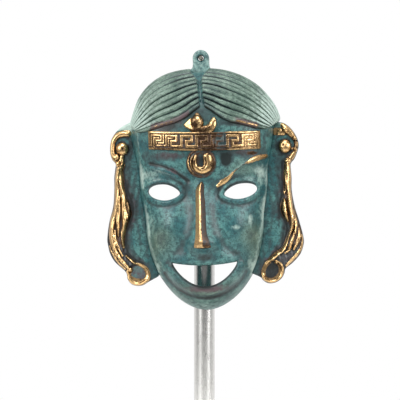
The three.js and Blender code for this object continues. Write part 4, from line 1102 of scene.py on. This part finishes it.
def lugPiece():
    # a plate of one depth: a half circle on sides that flare into the crown, and a hole with painted shadow
    # round its edge; the rest of the plate a paler tone
    middle = hanging["holeHeight"]
    turn = np.linspace(-np.pi / 2, np.pi / 2, 40)
    head = np.stack([lug["halfWidth"] * np.sin(turn), middle + lug["halfWidth"] * np.cos(turn)], 1)
    rightSide = curveThrough(lug["side"], 0.4)
    outline = np.vstack([head, rightSide, rightSide[::-1] * [-1, 1]])

    def height(u, v, gap):
        r = np.hypot(u, v - middle)
        return np.full(u.shape, lug["depth"]), {"gold": 0 * u, "hollow": 1.2 * (1 - ease(r, 1.6, 2.6)) - 0.4}

    hole = oval(0, middle, lug["holeRadius"], lug["holeRadius"], 40)
    return reliefPiece("lug", outline, 0.3, height, lambda u, v, gap: 0.12 + 0 * u, [hole], roll=0.9)


ride(lugPiece(), bronze)
print("lug made")

stand = {"rodRadius": 6.0, "rodEdge": 0.8, "bore": 1.5, "boreDepth": 8.0, "footRadius": 50.0,
         "footHeight": 8.0, "footEdge": 1.0, "seat": 6.3, "seatDepth": 5.0, "pinRadius": 1.2, "pinProud": 1.6}


def turnedRings(profile, count):
    # a profile of (radius, height) points turned about the upright axis
    turn = fullTurn(count)
    p = np.array(profile, float)
    tall = np.broadcast_to(p[:, 1:], (len(p), count))
    return np.stack([p[:, :1] * np.cos(turn), p[:, :1] * np.sin(turn), tall], -1)


def roundedCorner(middleR, middleZ, radius, start, end, count=6):
    # points on a quarter circle, angles in degrees from outward, upward
    turn = np.radians(np.linspace(start, end, count))
    return [(middleR + radius * math.cos(a), middleZ + radius * math.sin(a)) for a in turn]


def rodPiece():
    # a turned profile with a rounded top edge and a blind bore; rings near its ends hold its sides straight
    low, high = rodLow[2] * 1000, rodHigh[2] * 1000
    r, e, bore, floor = stand["rodRadius"], stand["rodEdge"], stand["bore"], high - stand["boreDepth"]
    profile = ([(0.5, low), (r - 0.3, low), (r, low + 0.3), (r, low + 1.3), (r, high - e - 1)]
               + roundedCorner(r - e, high - e, e, 0, 90)
               + [(bore + 0.2, high), (bore, high - 0.2), (bore, floor), (0.3, floor)])
    return loftRings("rodBar", turnedRings(profile, 96), {}, toMetres)


def footPiece():
    # a turned profile with rounded edges and a blind seat for the rod
    r, h, e = stand["footRadius"], stand["footHeight"], stand["footEdge"]
    seat, floor = stand["seat"], h - stand["seatDepth"]
    profile = ([(2, 0), (r - e - 1, 0)] + roundedCorner(r - e, e, e, -90, 0)
               + [(r, e + 0.8), (r, h - e - 0.8)] + roundedCorner(r - e, h - e, e, 0, 90)
               + [(r - e - 1, h), (seat + 1.3, h), (seat + 0.3, h), (seat, h - 0.3)]
               + [(seat, floor), (2, floor)])
    return loftRings("footDisc", turnedRings(profile, 160), {}, toMetres)


def pinPiece():
    # a circle, side * cos + other * sin, carried along the pin's line and square to the way ahead
    top, x = rodHigh[2] * 1000, hanging["shift"]
    path = curveThrough([(0, 0, top - 7.7), (0, 0, top - 3), (0, 0, top + 0.8), (x * 0.5, 0, top + 5),
                         (x, -0.1, holeZ - 3.2), (x, -0.9, holeZ - 0.9), (x, -3, holeZ), (x, -7, holeZ),
                         (x, rimY - lug["depth"] - stand["pinProud"], holeZ)], 0.6)
    ahead = np.gradient(path, axis=0)
    ahead /= np.linalg.norm(ahead, axis=1)[:, None]
    side = np.cross(ahead, np.array([1.0, 0, 0]))
    side /= np.linalg.norm(side, axis=1)[:, None]
    other = np.cross(ahead, side)
    turn = fullTurn(24)[:, None]
    radius = np.full(len(path), stand["pinRadius"])
    radius[[0, -1]] *= 0.8
    section = side[:, None] * np.cos(turn) + other[:, None] * np.sin(turn)
    rings = path[:, None] + radius[:, None, None] * section
    return loftRings("pinWire", rings, {}, toMetres)


rodBar = ride(rodPiece(), polishedSteel)
footDisc = ride(footPiece(), turnedSteel)
pinWire = ride(pinPiece(), drawnWire)
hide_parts("mask")
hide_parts("rod")
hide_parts("foot")
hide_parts("pin")
print("stand made")

studio = {
    "azimuth": math.radians(3.5), "distance": 0.875, "aimRight": -0.00256, "aimHeight": 0.1525,
    "lens": 135, "sensor": 36, "roomLight": 0.22, "sweepLight": 0.85, "lampAim": (0, -0.02, 0.16),
    "floorRadius": 260, "floorTop": -0.05, "floorUnder": -4, "floorColour": "#f2f2f0", "floorRough": 0.6,
    "lamps": [    # name, place, size in metres, watts
        ("left", (-0.8, -0.8, 0.5), 0.6, 13),
        ("right", (0.85, -0.6, 0.4), 0.5, 9),
        ("top", (0.0, -0.45, 0.95), 0.5, 8),
    ],
}


def pointAt(thing, target):
    # turns a lamp or the camera so that its -Z axis runs to the target
    x, y, z = (target[k] - thing.location[k] for k in range(3))
    thing.rotation_euler = (math.atan2(math.hypot(x, y), -z), 0, math.atan2(y, x) - math.pi / 2)


def studioScene():
    # camera, three lamps, a white floor and a white sweep behind
    c, s = math.cos(studio["azimuth"]), math.sin(studio["azimuth"])
    target = (studio["aimRight"] * c, studio["aimRight"] * s, studio["aimHeight"])
    camera = bpy.data.objects.new("camera", bpy.data.cameras.new("camera"))
    camera.data.lens = studio["lens"]
    camera.data.sensor_width = studio["sensor"]
    camera.location = (target[0] + studio["distance"] * s, target[1] - studio["distance"] * c, target[2])
    bpy.context.collection.objects.link(camera)
    pointAt(camera, target)
    bpy.context.scene.camera = camera
    for name, at, size, power in studio["lamps"]:
        light = bpy.data.objects.new(name, bpy.data.lights.new(name, "AREA"))
        light.data.size = size
        light.data.energy = power
        light.location = at
        bpy.context.collection.objects.link(light)
        pointAt(light, studio["lampAim"])
    r, low, high = studio["floorRadius"], studio["floorUnder"], studio["floorTop"]
    floor = loftRings("floor", turnedRings([(1, low), (r, low), (r, high), (1, high)], 96), {}, toMetres)
    paint, _, shader = newMaterial("floorPaint")
    shader.inputs["Base Color"].default_value = toLinear(studio["floorColour"])
    shader.inputs["Roughness"].default_value = studio["floorRough"]
    floor.data.materials.append(paint)
    world = bpy.data.worlds.new("world")
    bpy.context.scene.world = world
    world.use_nodes = True
    tree = world.node_tree
    back = tree.nodes["Background"]
    back.inputs["Color"].default_value = (1, 1, 1, 1)
    # a white sweep behind and a darker room in front; the camera itself sees white everywhere
    way = addNode(tree, "TexCoord", output="Generated")
    depth = addNode(tree, "SeparateXYZ", {}, {0: way}, "Y")
    room = addNode(tree, "MapRange", {1: -0.3, 2: 0.5, 3: studio["roomLight"], 4: studio["sweepLight"]},
                   {0: depth})
    seen = addNode(tree, "LightPath", output="Is Camera Ray")
    level = addNode(tree, "Mix", {"data_type": "FLOAT", 3: 1.0}, {0: seen, 2: room})
    tree.links.new(level, back.inputs["Strength"])
    bpy.context.scene.view_settings.view_transform = "Standard"


studioScene()
print("studio made")
